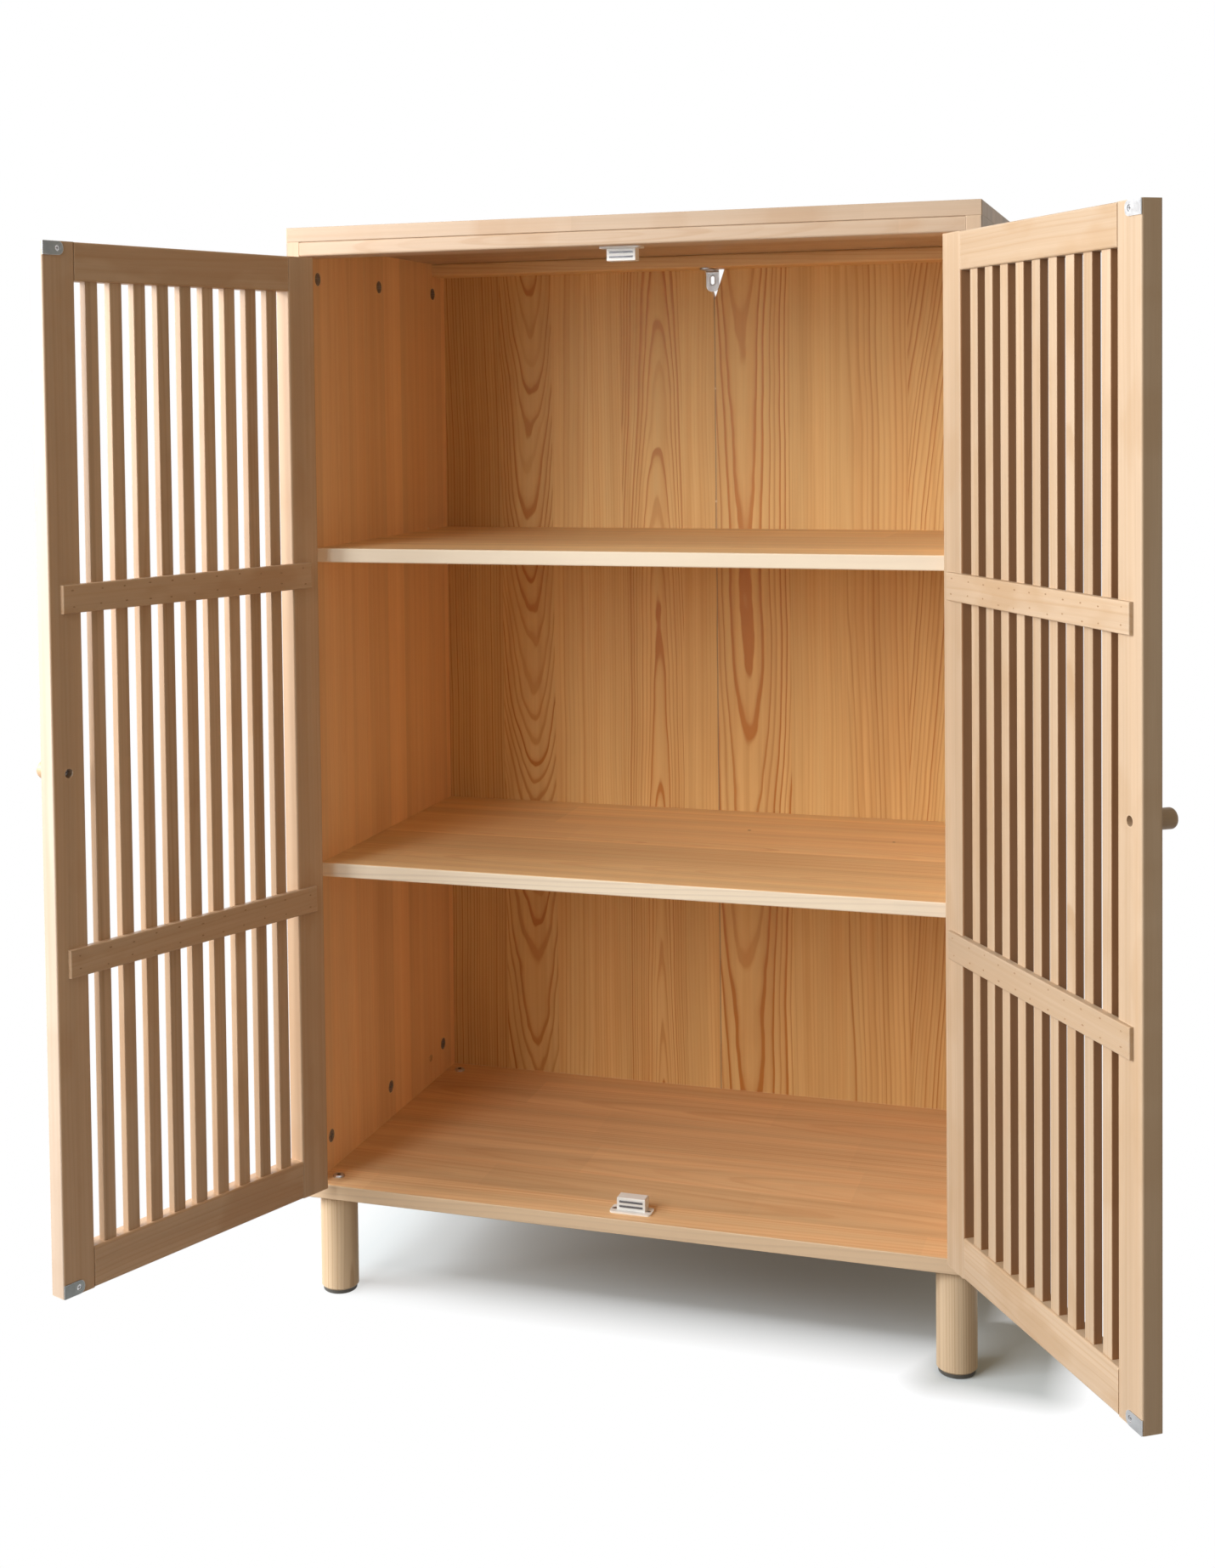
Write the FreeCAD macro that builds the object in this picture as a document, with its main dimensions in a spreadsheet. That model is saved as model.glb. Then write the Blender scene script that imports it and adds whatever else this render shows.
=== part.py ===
import FreeCAD, Part
import os
import re
import Sketcher
from FreeCAD import Placement, Rotation, Vector

# A free-standing pine cabinet on round legs, with two shelves and a pair of slatted doors.
# The frame is +Z up, the floor at zero and the doors' fronts towards -Y.

# Driving sizes in millimetres, and the two angles at which the doors stand open, in degrees.
DRIVING = {
    # Carcass
    "cabinet_width": 760,
    "cabinet_depth": 450,
    "cabinet_height": 1200,
    "leg_height": 112,
    "board_thickness": 16,
    "board_edge_round": 1,
    "back_panel_thickness": 12,
    "notch_width": 18,
    "notch_height": 54,
    "shelf_setback": 33,
    "shelf_edge_round": 1.6,
    "rail_depth": 42,
    "rail_edge_round": 2.4,
    # Place of the carcass in the frame, which is centred on the open cabinet's box
    "carcass_offset_x": -34,
    "carcass_offset_y": -49.5,
    # Legs
    "leg_diameter": 42,
    "leg_side_inset": 33,
    "leg_front_inset": 28,
    "leg_rear_inset": 38,
    "leg_foot_bevel": 2,
    "glide_diameter": 38,
    "glide_height": 4.5,
    "glide_edge_bevel": 1,
    # Fasteners and their fits
    "fastener_play": 0.1,
    "leg_bolt_diameter": 8,
    "leg_bolt_head_diameter": 13,
    "leg_bolt_head_height": 2.4,
    "leg_bolt_reach": 45,
    "cam_diameter": 15,
    "cam_depth": 12.5,
    "cam_end_distance": 38.5,
    "cam_front_inset": 47,
    "cam_rear_inset": 53,
    "cam_slot_width": 2,
    "cam_slot_depth": 1.5,
    "cam_slot_length": 11,
    "cam_bolt_diameter": 4,
    "cam_bolt_head_diameter": 6.6,
    "cam_bolt_head_height": 3,
    "cam_bolt_thread_diameter": 5.8,
    "cam_bolt_thread_length": 11,
    "dowel_diameter": 8,
    "dowel_length": 30,
    "dowel_side_depth": 11,
    "shelf_dowel_inset": 60,
    "back_screw_diameter": 3.5,
    "back_screw_head_diameter": 7,
    "back_screw_head_height": 2,
    "back_screw_length": 34,
    "back_screw_inset": 40,
    "small_screw_diameter": 3,
    "small_screw_head_diameter": 5.6,
    "small_screw_head_height": 1.3,
    "small_screw_length": 12.5,
    # Doors
    "right_open_angle": 124,
    "left_open_angle": 111,
    "door_thickness": 20,
    "door_end_gap": 3,
    "door_centre_gap": 2,
    "door_edge_round": 2,
    "stile_width": 38,
    "door_top_rail_height": 38,
    "door_bottom_rail_height": 41,
    "joint_play": 0.1,
    "tenon_length": 16,
    "tenon_thickness": 7,
    "tenon_shoulder": 7,
    "slat_width": 15,
    "slat_thickness": 9,
    "slat_recess": 3,
    "slat_edge_round": 1,
    "slat_end_housing": 8,
    "batten_height": 28,
    "batten_proud": 4,
    "batten_lap": 24.5,
    "batten_edge_round": 1.2,
    "upper_batten_drop": 333.5,
    "lower_batten_rise": 315,
    # Knobs
    "knob_diameter": 18.4,
    "knob_length": 22.5,
    "knob_end_round": 4.5,
    "knob_rise": 516,
    "knob_screw_diameter": 4,
    "knob_screw_head_diameter": 8.4,
    "knob_screw_head_height": 2.5,
    "knob_screw_reach": 14,
    "knob_counterbore_diameter": 9.4,
    "knob_counterbore_depth": 9,
    # Butt hinges
    "hinge_height": 64,
    "hinge_middle_knuckle": 24,
    "hinge_knuckle_gap": 0.3,
    "hinge_knuckle_diameter": 8,
    "hinge_face_gap": 0.5,
    "hinge_leaf_thickness": 1.4,
    "hinge_leaf_gap": 0.2,
    "hinge_leaf_width": 18,
    "hinge_pin_diameter": 4,
    "hinge_pin_play": 0.05,
    "hinge_end_distance": 120,
    "hinge_screw_spacing": 42,
    "hinge_screw_setback": 12,
    # Magnet catches and their strike plates
    "catch_base_length": 46,
    "catch_base_depth": 20,
    "catch_base_thickness": 2,
    "catch_base_lip": 6.2,
    "catch_corner_round": 4,
    "catch_body_width": 31.5,
    "catch_body_depth": 15,
    "catch_body_height": 15.3,
    "catch_body_round": 1,
    "catch_wall": 1.5,
    "catch_screw_spacing": 38,
    "catch_closing_gap": 0.4,
    "pole_width": 26,
    "pole_depth": 11,
    "pole_thickness": 2,
    "pole_proud": 0.8,
    "pole_rise": 6,
    "pole_spacing": 5,
    "strike_length": 24.5,
    "strike_height": 13.5,
    "strike_thickness": 1,
    "strike_round": 6,
    "strike_end_inset": 0.2,
    "strike_screw_setback": 18,
    # Wall bracket
    "bracket_width": 16,
    "bracket_thickness": 2,
    "bracket_side_offset": 2,
    "bracket_leg_depth": 42,
    "bracket_leg_drop": 25.4,
    "bracket_bend_round": 2.5,
    "bracket_tip_round": 7,
    "bracket_slot_width": 5,
    "bracket_slot_height": 10.6,
    "bracket_slot_rise": 13.9,
    "bracket_screw_setback": 10,
    # One overrun for every cut that leaves the wood
    "overrun": 1,
}

# How many of each repeated thing there are.
SLATS = 9
TOUCH = 1e-4

# Sizes that follow from the driving ones.
DERIVED = {
    "half_width": "cabinet_width / 2",
    "inner_half_width": "cabinet_width / 2 - board_thickness",
    "floor_board_top": "leg_height + board_thickness",
    "ceiling": "cabinet_height - board_thickness",
    "rail_underside": "cabinet_height - 2 * board_thickness",
    "side_height": "cabinet_height - leg_height - 2 * board_thickness",
    "compartment": "(cabinet_height - leg_height - 4 * board_thickness) / 3",
    "lower_shelf_level": "leg_height + board_thickness + compartment",
    "upper_shelf_level": "lower_shelf_level + board_thickness + compartment",
    "back_plane": "cabinet_depth - back_panel_thickness",
    "rail_mid_level": "ceiling - board_thickness / 2",
    "leg_x": "half_width - leg_side_inset",
    "cam_bolt_x": "half_width - board_thickness / 2",
    "cam_bolt_reach": "cam_end_distance + cam_bolt_head_height / 2",
    "cam_middle": "(cam_front_inset + cabinet_depth - cam_rear_inset) / 2",
    "dowel_rail_depth": "dowel_length - dowel_side_depth",
    "hinge_gap": "2 * hinge_leaf_thickness + hinge_leaf_gap",
    "hinge_x": "inner_half_width - hinge_gap / 2",
    "hinge_setout": "hinge_knuckle_diameter / 2 + hinge_face_gap",
    "door_edge": "hinge_gap / 2",
    "door_width": "inner_half_width - door_centre_gap / 2 - hinge_gap",
    "door_low": "floor_board_top + door_end_gap",
    "door_high": "rail_underside - door_end_gap",
    "door_height": "door_high - door_low",
    "door_inside": "hinge_setout + door_thickness",
    "door_mid_thickness": "hinge_setout + door_thickness / 2",
    "slat_panel_start": "door_edge + stile_width",
    "slat_panel_width": "door_width - 2 * stile_width",
    "slat_panel_end": "slat_panel_start + slat_panel_width",
    "slat_panel_low": "door_low + door_bottom_rail_height",
    "slat_panel_height": "door_height - door_bottom_rail_height - door_top_rail_height",
    "slat_panel_high": "slat_panel_low + slat_panel_height",
    "slat_gap": f"(slat_panel_width - {SLATS} * slat_width) / {SLATS + 1}",
    "slat_pitch": "slat_width + slat_gap",
    "slat_front": "door_inside - slat_recess - slat_thickness",
    "slat_inside": "door_inside - slat_recess",
    "batten_thickness": "slat_recess + batten_proud",
    "batten_start": "slat_panel_start - batten_lap",
    "batten_length": "slat_panel_width + 2 * batten_lap",
    "upper_batten_low": "door_high - upper_batten_drop - batten_height",
    "lower_batten_low": "door_low + lower_batten_rise",
    "knob_u": "slat_panel_end + stile_width / 2",
    "knob_level": "door_low + knob_rise",
    "knob_bore_depth": "door_thickness - knob_counterbore_depth",
    "catch_front": "door_thickness + strike_thickness + catch_closing_gap + pole_proud",
    "catch_screw_y": "catch_front - catch_base_lip + catch_base_depth / 2",
    "strike_start": "door_edge + door_width - strike_length",
    "strike_screw_u": "door_edge + door_width - strike_screw_setback",
    "upper_strike_low": "door_high - strike_end_inset - strike_height",
    "lower_strike_low": "door_low + strike_end_inset",
    "bracket_front": "back_plane - bracket_leg_depth",
    "bracket_screw_y": "bracket_front + bracket_screw_setback",
    "end_knuckle": "(hinge_height - hinge_middle_knuckle) / 2",
    "upper_hinge_low": "door_high - hinge_end_distance - hinge_height / 2",
    "lower_hinge_low": "door_low + hinge_end_distance - hinge_height / 2",
    "middle_hinge_low": "(upper_hinge_low + lower_hinge_low) / 2",
}

HINGES = ("upper_hinge_low", "middle_hinge_low", "lower_hinge_low")
SIDES = {"left": -1, "right": 1}

doc = FreeCAD.newDocument("Cabinet")


def make_sheet(name, cells):
    sheet = doc.addObject("Spreadsheet::Sheet", name)
    for row, (alias, text) in enumerate(cells.items(), 1):
        sheet.set(f"A{row}", alias.replace("_", " "))
        sheet.set(f"B{row}", text)
        sheet.setAlias(f"B{row}", alias)
    return sheet


def spell(formula):
    """A formula in plain size names, written as the document reads it."""
    def cell(match):
        word = match.group()
        if word in DRIVING:
            return "Sizes." + word
        if word in DERIVED:
            return "Derived." + word
        return word
    return re.sub(r"[a-z_]+", cell, str(formula))


make_sheet("Sizes", {alias: str(size) for alias, size in DRIVING.items()})
make_sheet("Derived", {alias: "=" + spell(formula) for alias, formula in DERIVED.items()})
doc.recompute()

subparts = []


def stand(item, side=None, x="0", y="0", z="0"):
    """Places an object drawn in the carcass's frame, or in a door's own frame at its hinge axis."""
    if side is None:
        base = (f"carcass_offset_x + {x}", f"carcass_offset_y + {y}", z)
    else:
        base = (f"carcass_offset_x + {SIDES[side]} * hinge_x", "carcass_offset_y - hinge_setout", z)
        item.setExpression(".Placement.Rotation.Angle", spell(f"{SIDES[side]} * {side}_open_angle"))
    for axis, formula in zip("xyz", base):
        item.setExpression(f".Placement.Base.{axis}", spell(formula))


def subpart(label, side=None, kind="PartDesign::Body"):
    item = doc.addObject(kind, label)
    item.Label = label
    stand(item, side)
    subparts.append(item)
    return item


def master(label):
    """A body that is only drawn to be repeated in a group."""
    item = doc.addObject("PartDesign::Body", label)
    item.Label = label
    return item


def bind(item, **formulas):
    for name, formula in formulas.items():
        item.setExpression(name, spell(formula))
    return item


def shift(feature, x, y, z):
    for axis, formula in zip("xyz", (x, y, z)):
        feature.setExpression(f".Placement.Base.{axis}", spell(formula))
    return feature


TURNS = {
    "+x": Rotation(Vector(0, 1, 0), 90),
    "-x": Rotation(Vector(0, 1, 0), -90),
    "+y": Rotation(Vector(1, 0, 0), -90),
    "-y": Rotation(Vector(1, 0, 0), 90),
    "+z": Rotation(),
    "-z": Rotation(Vector(1, 0, 0), 180),
}


def outline_pad(item, name, plane, place, points, length):
    """A closed outline on one of the body's planes, padded towards +X, +Y or +Z."""
    x, y, z = place
    offset = {"XY_Plane": (x, y, z), "XZ_Plane": (x, z, f"-({y})"), "YZ_Plane": (y, z, x)}[plane]
    sketch = item.newObject("Sketcher::SketchObject", f"{item.Label}_{name}_outline")
    sketch.AttachmentSupport = [(next(f for f in item.Origin.OriginFeatures if f.Role == plane), "")]
    sketch.MapMode = "FlatFace"
    for axis, formula in zip("xyz", offset):
        sketch.setExpression(f"AttachmentOffset.Base.{axis}", spell(formula))
    count = len(points)
    rough = [Rotation(Vector(0, 0, 1), 360 * k / count).multVec(Vector(1, 0, 0)) for k in range(count)]
    for k in range(count):
        sketch.addGeometry(Part.LineSegment(rough[k], rough[(k + 1) % count]))
    for k in range(count):
        sketch.addConstraint(Sketcher.Constraint("Coincident", k, 2, (k + 1) % count, 1))
    for k, point in enumerate(points):
        for kind, formula in zip(("DistanceX", "DistanceY"), point):
            number = sketch.addConstraint(Sketcher.Constraint(kind, -1, 1, k, 1, 1.0))
            sketch.setExpression(f"Constraints[{number}]", spell(formula))
    pad = item.newObject("PartDesign::Pad", f"{item.Label}_{name}")
    pad.Profile = sketch
    pad.Reversed = plane == "XZ_Plane"
    bind(pad, Length=length)
    sketch.Visibility = False
    return pad


def block(item, name, place, size):
    width, depth, height = size
    points = (("0", "0"), (width, "0"), (width, depth), ("0", depth))
    return outline_pad(item, name, "XY_Plane", place, points, height)


def round_pad(item, name, place, diameter, height, direction="+z"):
    """A cylinder that starts at a place and runs in a direction."""
    rod = item.newObject("PartDesign::AdditiveCylinder", f"{item.Label}_{name}")
    rod.Placement = Placement(Vector(), TURNS[direction])
    bind(rod, Radius=f"({diameter}) / 2", Height=height)
    return shift(rod, *place)


def bore(item, name, place, direction, diameter, depth):
    """A round hole from its mouth into the wood."""
    hole = item.newObject("PartDesign::SubtractiveCylinder", f"{item.Label}_{name}")
    hole.Placement = Placement(Vector(), TURNS[direction])
    bind(hole, Radius=f"({diameter}) / 2", Height=depth)
    return shift(hole, *place)


def housing(item, name, place, size):
    """A box-shaped recess, such as a mortise."""
    recess = item.newObject("PartDesign::SubtractiveBox", f"{item.Label}_{name}")
    bind(recess, **dict(zip(("Length", "Width", "Height"), size)))
    return shift(recess, *place)


def screw_hole(item, name, place, direction, kind, depth=None):
    """A hole for a countersunk screw, with its head's seat at the mouth."""
    depth = depth or f"{kind}_length + fastener_play"
    bore(item, name, place, direction, f"{kind}_diameter + 2 * fastener_play", depth)
    seat = item.newObject("PartDesign::SubtractiveCone", f"{item.Label}_{name}_seat")
    seat.Placement = Placement(Vector(), TURNS[direction])
    bind(seat, Radius1=f"{kind}_head_diameter / 2 + fastener_play",
         Radius2=f"{kind}_diameter / 2 + fastener_play", Height=f"{kind}_head_height")
    return shift(seat, *place)


def picked_edges(item, wanted):
    """The body's last feature, and the names of its edges that a test picks."""
    doc.recompute()
    base = item.Tip
    names = [f"Edge{k}" for k, edge in enumerate(base.Shape.Edges, 1) if wanted(edge, base.Shape.BoundBox)]
    return base, names


def soften(item, name, radius, wanted):
    edges = picked_edges(item, wanted)
    fillet = item.newObject("PartDesign::Fillet", f"{item.Label}_{name}")
    fillet.Base = edges
    return bind(fillet, Radius=radius)


def bevel(item, name, size, wanted):
    edges = picked_edges(item, wanted)
    chamfer = item.newObject("PartDesign::Chamfer", f"{item.Label}_{name}")
    chamfer.Base = edges
    return bind(chamfer, Size=size)


def in_plane(edge, box, side):
    """Whether the whole edge lies on that side of the box, such as ZMax."""
    level = getattr(box, side)
    low = getattr(edge.BoundBox, side[0] + "Min")
    high = getattr(edge.BoundBox, side[0] + "Max")
    return abs(low - level) < TOUCH and abs(high - level) < TOUCH


def runs_along(edge, axis):
    others = [other for other in "XYZ" if other != axis]
    return all(getattr(edge.BoundBox, other + "Length") < TOUCH for other in others)


def group(label, copies, side=None):
    """Several solids in one sub-part: each copy is a master, a place and a turn."""
    links = []
    for k, (source, place, turn) in enumerate(copies, 1):
        link = doc.addObject("App::Link", f"{label}_{k}")
        link.LinkedObject = source
        link.Placement = Placement(Vector(), turn)
        shift(link, *place)
        links.append(link)
    item = subpart(label, side, "Part::Compound")
    item.Links = links
    return item


# Places and marks that more than one piece uses.
LEGS = {
    "front_left": ("-leg_x", "leg_front_inset"),
    "front_right": ("leg_x", "leg_front_inset"),
    "rear_left": ("-leg_x", "cabinet_depth - leg_rear_inset"),
    "rear_right": ("leg_x", "cabinet_depth - leg_rear_inset"),
}
CAM_ROWS = ("cam_front_inset", "cam_middle", "cabinet_depth - cam_rear_inset")
SHELVES = {"lower": "lower_shelf_level", "upper": "upper_shelf_level"}
SHELF_DOWELS = ("shelf_setback + shelf_dowel_inset", "back_plane - shelf_dowel_inset")
RAILS = {"front": "0", "rear": "back_plane - rail_depth"}
BACK_SCREWS_X = ("back_screw_inset", "inner_half_width - back_screw_inset")
BACK_SCREW_LEVELS = (
    "lower_shelf_level + board_thickness / 2",
    "upper_shelf_level + board_thickness / 2",
    "rail_mid_level",
)


def across(side, start, width="0"):
    """The low X of a stretch measured outwards from the middle, on one side."""
    return start if side == "right" else f"-({start}) - ({width})"


def along(side, start, width="0"):
    """The low X, in a door's own frame, of a stretch measured from its hinge axis."""
    return start if side == "left" else f"-({start}) - ({width})"


# Boards of the carcass
def plain_board(label, place, size):
    item = subpart(label)
    block(item, "board", place, size)
    return item


def outer_edges(edge, box):
    return any(in_plane(edge, box, side) for side in ("XMin", "XMax", "YMin"))


def make_top_and_bottom_boards():
    levels = {
        "top_board": ("ceiling", "ceiling", "+z"),
        "bottom_board": ("leg_height", "floor_board_top", "-z"),
    }
    for label, (low, joint, direction) in levels.items():
        item = plain_board(label, ("-half_width", "0", low),
                           ("cabinet_width", "cabinet_depth", "board_thickness"))
        soften(item, "eased_edges", "board_edge_round", outer_edges)
        for side in SIDES:
            for k, y in enumerate(CAM_ROWS):
                bore(item, f"{side}_bolt_hole_{k}", (across(side, "cam_bolt_x"), y, joint), direction,
                     "cam_bolt_thread_diameter + 2 * fastener_play", "cam_bolt_thread_length + fastener_play")
        if label == "bottom_board":
            for name, (x, y) in LEGS.items():
                bore(item, f"{name}_hole", (x, y, "floor_board_top + overrun"), "-z",
                     "leg_bolt_diameter + 2 * fastener_play", "board_thickness + 2 * overrun")
            for k, turn in enumerate((-1, 1)):
                mouth = (f"{turn} * catch_screw_spacing / 2", "catch_screw_y", "floor_board_top")
                bore(item, f"catch_hole_{k}", mouth, "-z", "small_screw_diameter + 2 * fastener_play",
                     "small_screw_length")


def make_side_panels():
    for side in SIDES:
        outwards = "+x" if side == "right" else "-x"
        item = plain_board(f"{side}_side_panel", (across(side, "inner_half_width", "board_thickness"), "0",
                           "floor_board_top"), ("board_thickness", "cabinet_depth", "side_height"))
        soften(item, "eased_edges", "board_edge_round",
               lambda edge, box: in_plane(edge, box, "YMin") and runs_along(edge, "Z"))
        inside = across(side, "inner_half_width - overrun")
        for end, level, way in (("low", "floor_board_top", 1), ("high", "ceiling", -1)):
            for k, y in enumerate(CAM_ROWS):
                bore(item, f"{end}_cam_{k}", (inside, y, f"{level} + {way} * cam_end_distance"), outwards,
                     "cam_diameter", "cam_depth + overrun")
                mouth = (across(side, "cam_bolt_x"), y, f"{level} - {way} * overrun")
                bore(item, f"{end}_bolt_way_{k}", mouth, "+z" if way > 0 else "-z",
                     "cam_bolt_head_diameter + 2 * fastener_play", "cam_end_distance + overrun")
        for shelf, level in SHELVES.items():
            for k, y in enumerate(SHELF_DOWELS):
                bore(item, f"{shelf}_dowel_{k}", (inside, y, f"{level} + board_thickness / 2"), outwards,
                     "dowel_diameter + 2 * fastener_play", "dowel_side_depth + fastener_play + overrun")
        for rail, y in RAILS.items():
            bore(item, f"{rail}_rail_dowel", (inside, f"{y} + rail_depth / 2", "rail_mid_level"), outwards,
                 "dowel_diameter + 2 * fastener_play", "dowel_side_depth + fastener_play + overrun")
        for hinge in HINGES:
            for k, way in enumerate((-1, 1)):
                level = f"{hinge} + hinge_height / 2 + {way} * hinge_screw_spacing / 2"
                mouth = (inside, "hinge_screw_setback - hinge_setout", level)
                bore(item, f"{hinge}_screw_{k}", mouth, outwards, "small_screw_diameter + 2 * fastener_play",
                     "small_screw_length + overrun")


def dowel_ends(item, y_places, level):
    for side in SIDES:
        inwards = "-x" if side == "right" else "+x"
        for k, y in enumerate(y_places):
            bore(item, f"{side}_dowel_{k}", (across(side, "inner_half_width + overrun"), y, level), inwards,
                 "dowel_diameter + 2 * fastener_play", "dowel_rail_depth + fastener_play + overrun")


def make_shelves():
    for name, low in SHELVES.items():
        item = plain_board(f"{name}_shelf", ("-inner_half_width", "shelf_setback", low),
                           ("2 * inner_half_width", "back_plane - shelf_setback", "board_thickness"))
        soften(item, "eased_edges", "shelf_edge_round",
               lambda edge, box: in_plane(edge, box, "YMin") and runs_along(edge, "X"))
        level = f"{low} + board_thickness / 2"
        dowel_ends(item, SHELF_DOWELS, level)
        for side in SIDES:
            for k, x in enumerate(BACK_SCREWS_X):
                bore(item, f"{side}_screw_{k}", (across(side, x), "back_plane + overrun", level), "-y",
                     "back_screw_diameter + 2 * fastener_play",
                     "back_screw_length - back_panel_thickness + fastener_play + overrun")


def make_rails():
    for name, y in RAILS.items():
        item = plain_board(f"{name}_top_rail", ("-inner_half_width", y, "rail_underside"),
                           ("2 * inner_half_width", "rail_depth", "board_thickness"))
        seen = {"front": ("YMin", "YMax"), "rear": ("YMin",)}[name]
        soften(item, "eased_edges", "rail_edge_round", lambda edge, box: runs_along(edge, "X") and
               any(in_plane(edge, box, side) for side in seen))
        dowel_ends(item, (f"{y} + rail_depth / 2",), "rail_mid_level")
        if name == "front":
            for k, way in enumerate((-1, 1)):
                mouth = (f"{way} * catch_screw_spacing / 2", "catch_screw_y", "rail_underside")
                bore(item, f"catch_hole_{k}", mouth, "+z", "small_screw_diameter + 2 * fastener_play",
                     "small_screw_length")
        else:
            bore(item, "bracket_hole", ("-bracket_side_offset", "bracket_screw_y", "rail_underside"), "+z",
                 "small_screw_diameter + 2 * fastener_play", "small_screw_length")
            for side in SIDES:
                for k, x in enumerate(BACK_SCREWS_X):
                    mouth = (across(side, x), "back_plane + overrun", "rail_mid_level")
                    bore(item, f"{side}_screw_{k}", mouth, "-y", "back_screw_diameter + 2 * fastener_play",
                         "back_screw_length - back_panel_thickness + fastener_play + overrun")


def make_back_panels():
    """Two panels whose inner top corners are cut away to one notch behind the bracket."""
    for side in SIDES:
        item = subpart(f"{side}_back_panel")
        way = SIDES[side]
        points = (
            ("0", "0"),
            (f"{way} * inner_half_width", "0"),
            (f"{way} * inner_half_width", "side_height"),
            (f"{way} * notch_width", "side_height"),
            ("0", "side_height - notch_height"),
        )
        outline_pad(item, "panel", "XZ_Plane", ("0", "back_plane", "floor_board_top"), points,
                    "back_panel_thickness")
        for row, level in enumerate(BACK_SCREW_LEVELS):
            for k, x in enumerate(BACK_SCREWS_X):
                mouth = (across(side, x), "cabinet_depth", level)
                screw_hole(item, f"screw_{row}_{k}", mouth, "-y", "back_screw")


# Legs
def make_legs():
    for name, (x, y) in LEGS.items():
        item = subpart(f"{name}_leg")
        round_pad(item, "turned", (x, y, "glide_height"), "leg_diameter", "leg_height - glide_height")
        bevel(item, "foot_bevel", "leg_foot_bevel", lambda edge, box: in_plane(edge, box, "ZMin"))
        bore(item, "bolt_hole", (x, y, "leg_height + overrun"), "-z", "leg_bolt_diameter + 2 * fastener_play",
             "leg_bolt_reach + fastener_play + overrun")
    glide = master("glide")
    round_pad(glide, "disc", ("0", "0", "0"), "glide_diameter", "glide_height")
    bevel(glide, "edge", "glide_edge_bevel", lambda edge, box: in_plane(edge, box, "ZMin"))
    group("leg_glides", [(glide, (x, y, "0"), TURNS["+z"]) for x, y in LEGS.values()])
    bolt = master("leg_bolt")
    round_pad(bolt, "shank", ("0", "0", "0"), "leg_bolt_diameter", "board_thickness + leg_bolt_reach", "-z")
    round_pad(bolt, "head", ("0", "0", "0"), "leg_bolt_head_diameter", "leg_bolt_head_height")
    bevel(bolt, "head_bevel", "leg_bolt_head_height / 2", lambda edge, box: in_plane(edge, box, "ZMax"))
    group("leg_bolts", [(bolt, (x, y, "floor_board_top"), TURNS["+z"]) for x, y in LEGS.values()])


# Knock-down fittings
def make_cams():
    cam = master("cam")
    round_pad(cam, "disc", ("0", "0", "0"), "cam_diameter - 2 * fastener_play",
              "cam_depth - fastener_play", "+x")
    bore(cam, "bolt_mouth", ("board_thickness / 2", "0", "-cam_diameter"), "+z",
         "cam_bolt_head_diameter + 2 * fastener_play",
         "cam_diameter + cam_bolt_head_height / 2 + fastener_play")
    slots = {"slot": ("cam_slot_length", "cam_slot_width"), "cross": ("cam_slot_width", "cam_slot_length")}
    for name, (wide, high) in slots.items():
        housing(cam, name, ("-overrun", f"-({wide}) / 2", f"-({high}) / 2"),
                ("cam_slot_depth + overrun", wide, high))
    bolt = master("cam_bolt")
    round_pad(bolt, "thread", ("0", "0", "0"), "cam_bolt_thread_diameter", "cam_bolt_thread_length")
    round_pad(bolt, "shank", ("0", "0", "0"), "cam_bolt_diameter", "cam_bolt_reach", "-z")
    round_pad(bolt, "head", ("0", "0", "-cam_bolt_reach"), "cam_bolt_head_diameter", "cam_bolt_head_height")
    cams = []
    bolts = []
    for side in SIDES:
        for y in CAM_ROWS:
            for level, way in (("floor_board_top", 1), ("ceiling", -1)):
                turn = Rotation() if (side == "right") else Rotation(Vector(0, 0, 1), 180)
                flip = Rotation() if way > 0 else Rotation(Vector(1, 0, 0), 180)
                place = (across(side, "inner_half_width"), y, f"{level} + {way} * cam_end_distance")
                cams.append((cam, place, turn.multiply(flip)))
                bolts.append((bolt, (across(side, "cam_bolt_x"), y, level), TURNS["-z" if way > 0 else "+z"]))
    group("cam_locks", cams)
    group("cam_bolts", bolts)


def make_dowels():
    dowel = master("dowel")
    round_pad(dowel, "rod", ("-dowel_rail_depth", "0", "0"), "dowel_diameter", "dowel_length", "+x")
    turns = {"right": Rotation(), "left": Rotation(Vector(0, 0, 1), 180)}
    shelf_places = [(y, f"{level} + board_thickness / 2") for level in SHELVES.values() for y in SHELF_DOWELS]
    rail_places = [(f"{y} + rail_depth / 2", "rail_mid_level") for y in RAILS.values()]
    for label, places in (("shelf_dowels", shelf_places), ("rail_dowels", rail_places)):
        group(label, [(dowel, (across(side, "inner_half_width"), y, level), turns[side])
                      for side in SIDES for y, level in places])


def countersunk(label, kind):
    """A countersunk screw whose head's face is at zero and whose tip points along +Z."""
    item = master(label)
    head = item.newObject("PartDesign::AdditiveCone", f"{label}_head")
    bind(head, Radius1=f"{kind}_head_diameter / 2", Radius2=f"{kind}_diameter / 2",
         Height=f"{kind}_head_height")
    round_pad(item, "shank", ("0", "0", "0"), f"{kind}_diameter", f"{kind}_length")
    return item


def make_back_screws():
    screw = countersunk("back_screw", "back_screw")
    group("back_panel_screws", [(screw, (across(side, x), "cabinet_depth", level), TURNS["-y"])
                                for side in SIDES for x in BACK_SCREWS_X for level in BACK_SCREW_LEVELS])


# Magnet catches, drawn on their mounting face with the front at zero and the body above
CATCHES = {
    "lower": ("floor_board_top", 1, Rotation()),
    "upper": ("rail_underside", -1, Rotation(Vector(0, 1, 0), 180)),
}


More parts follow.
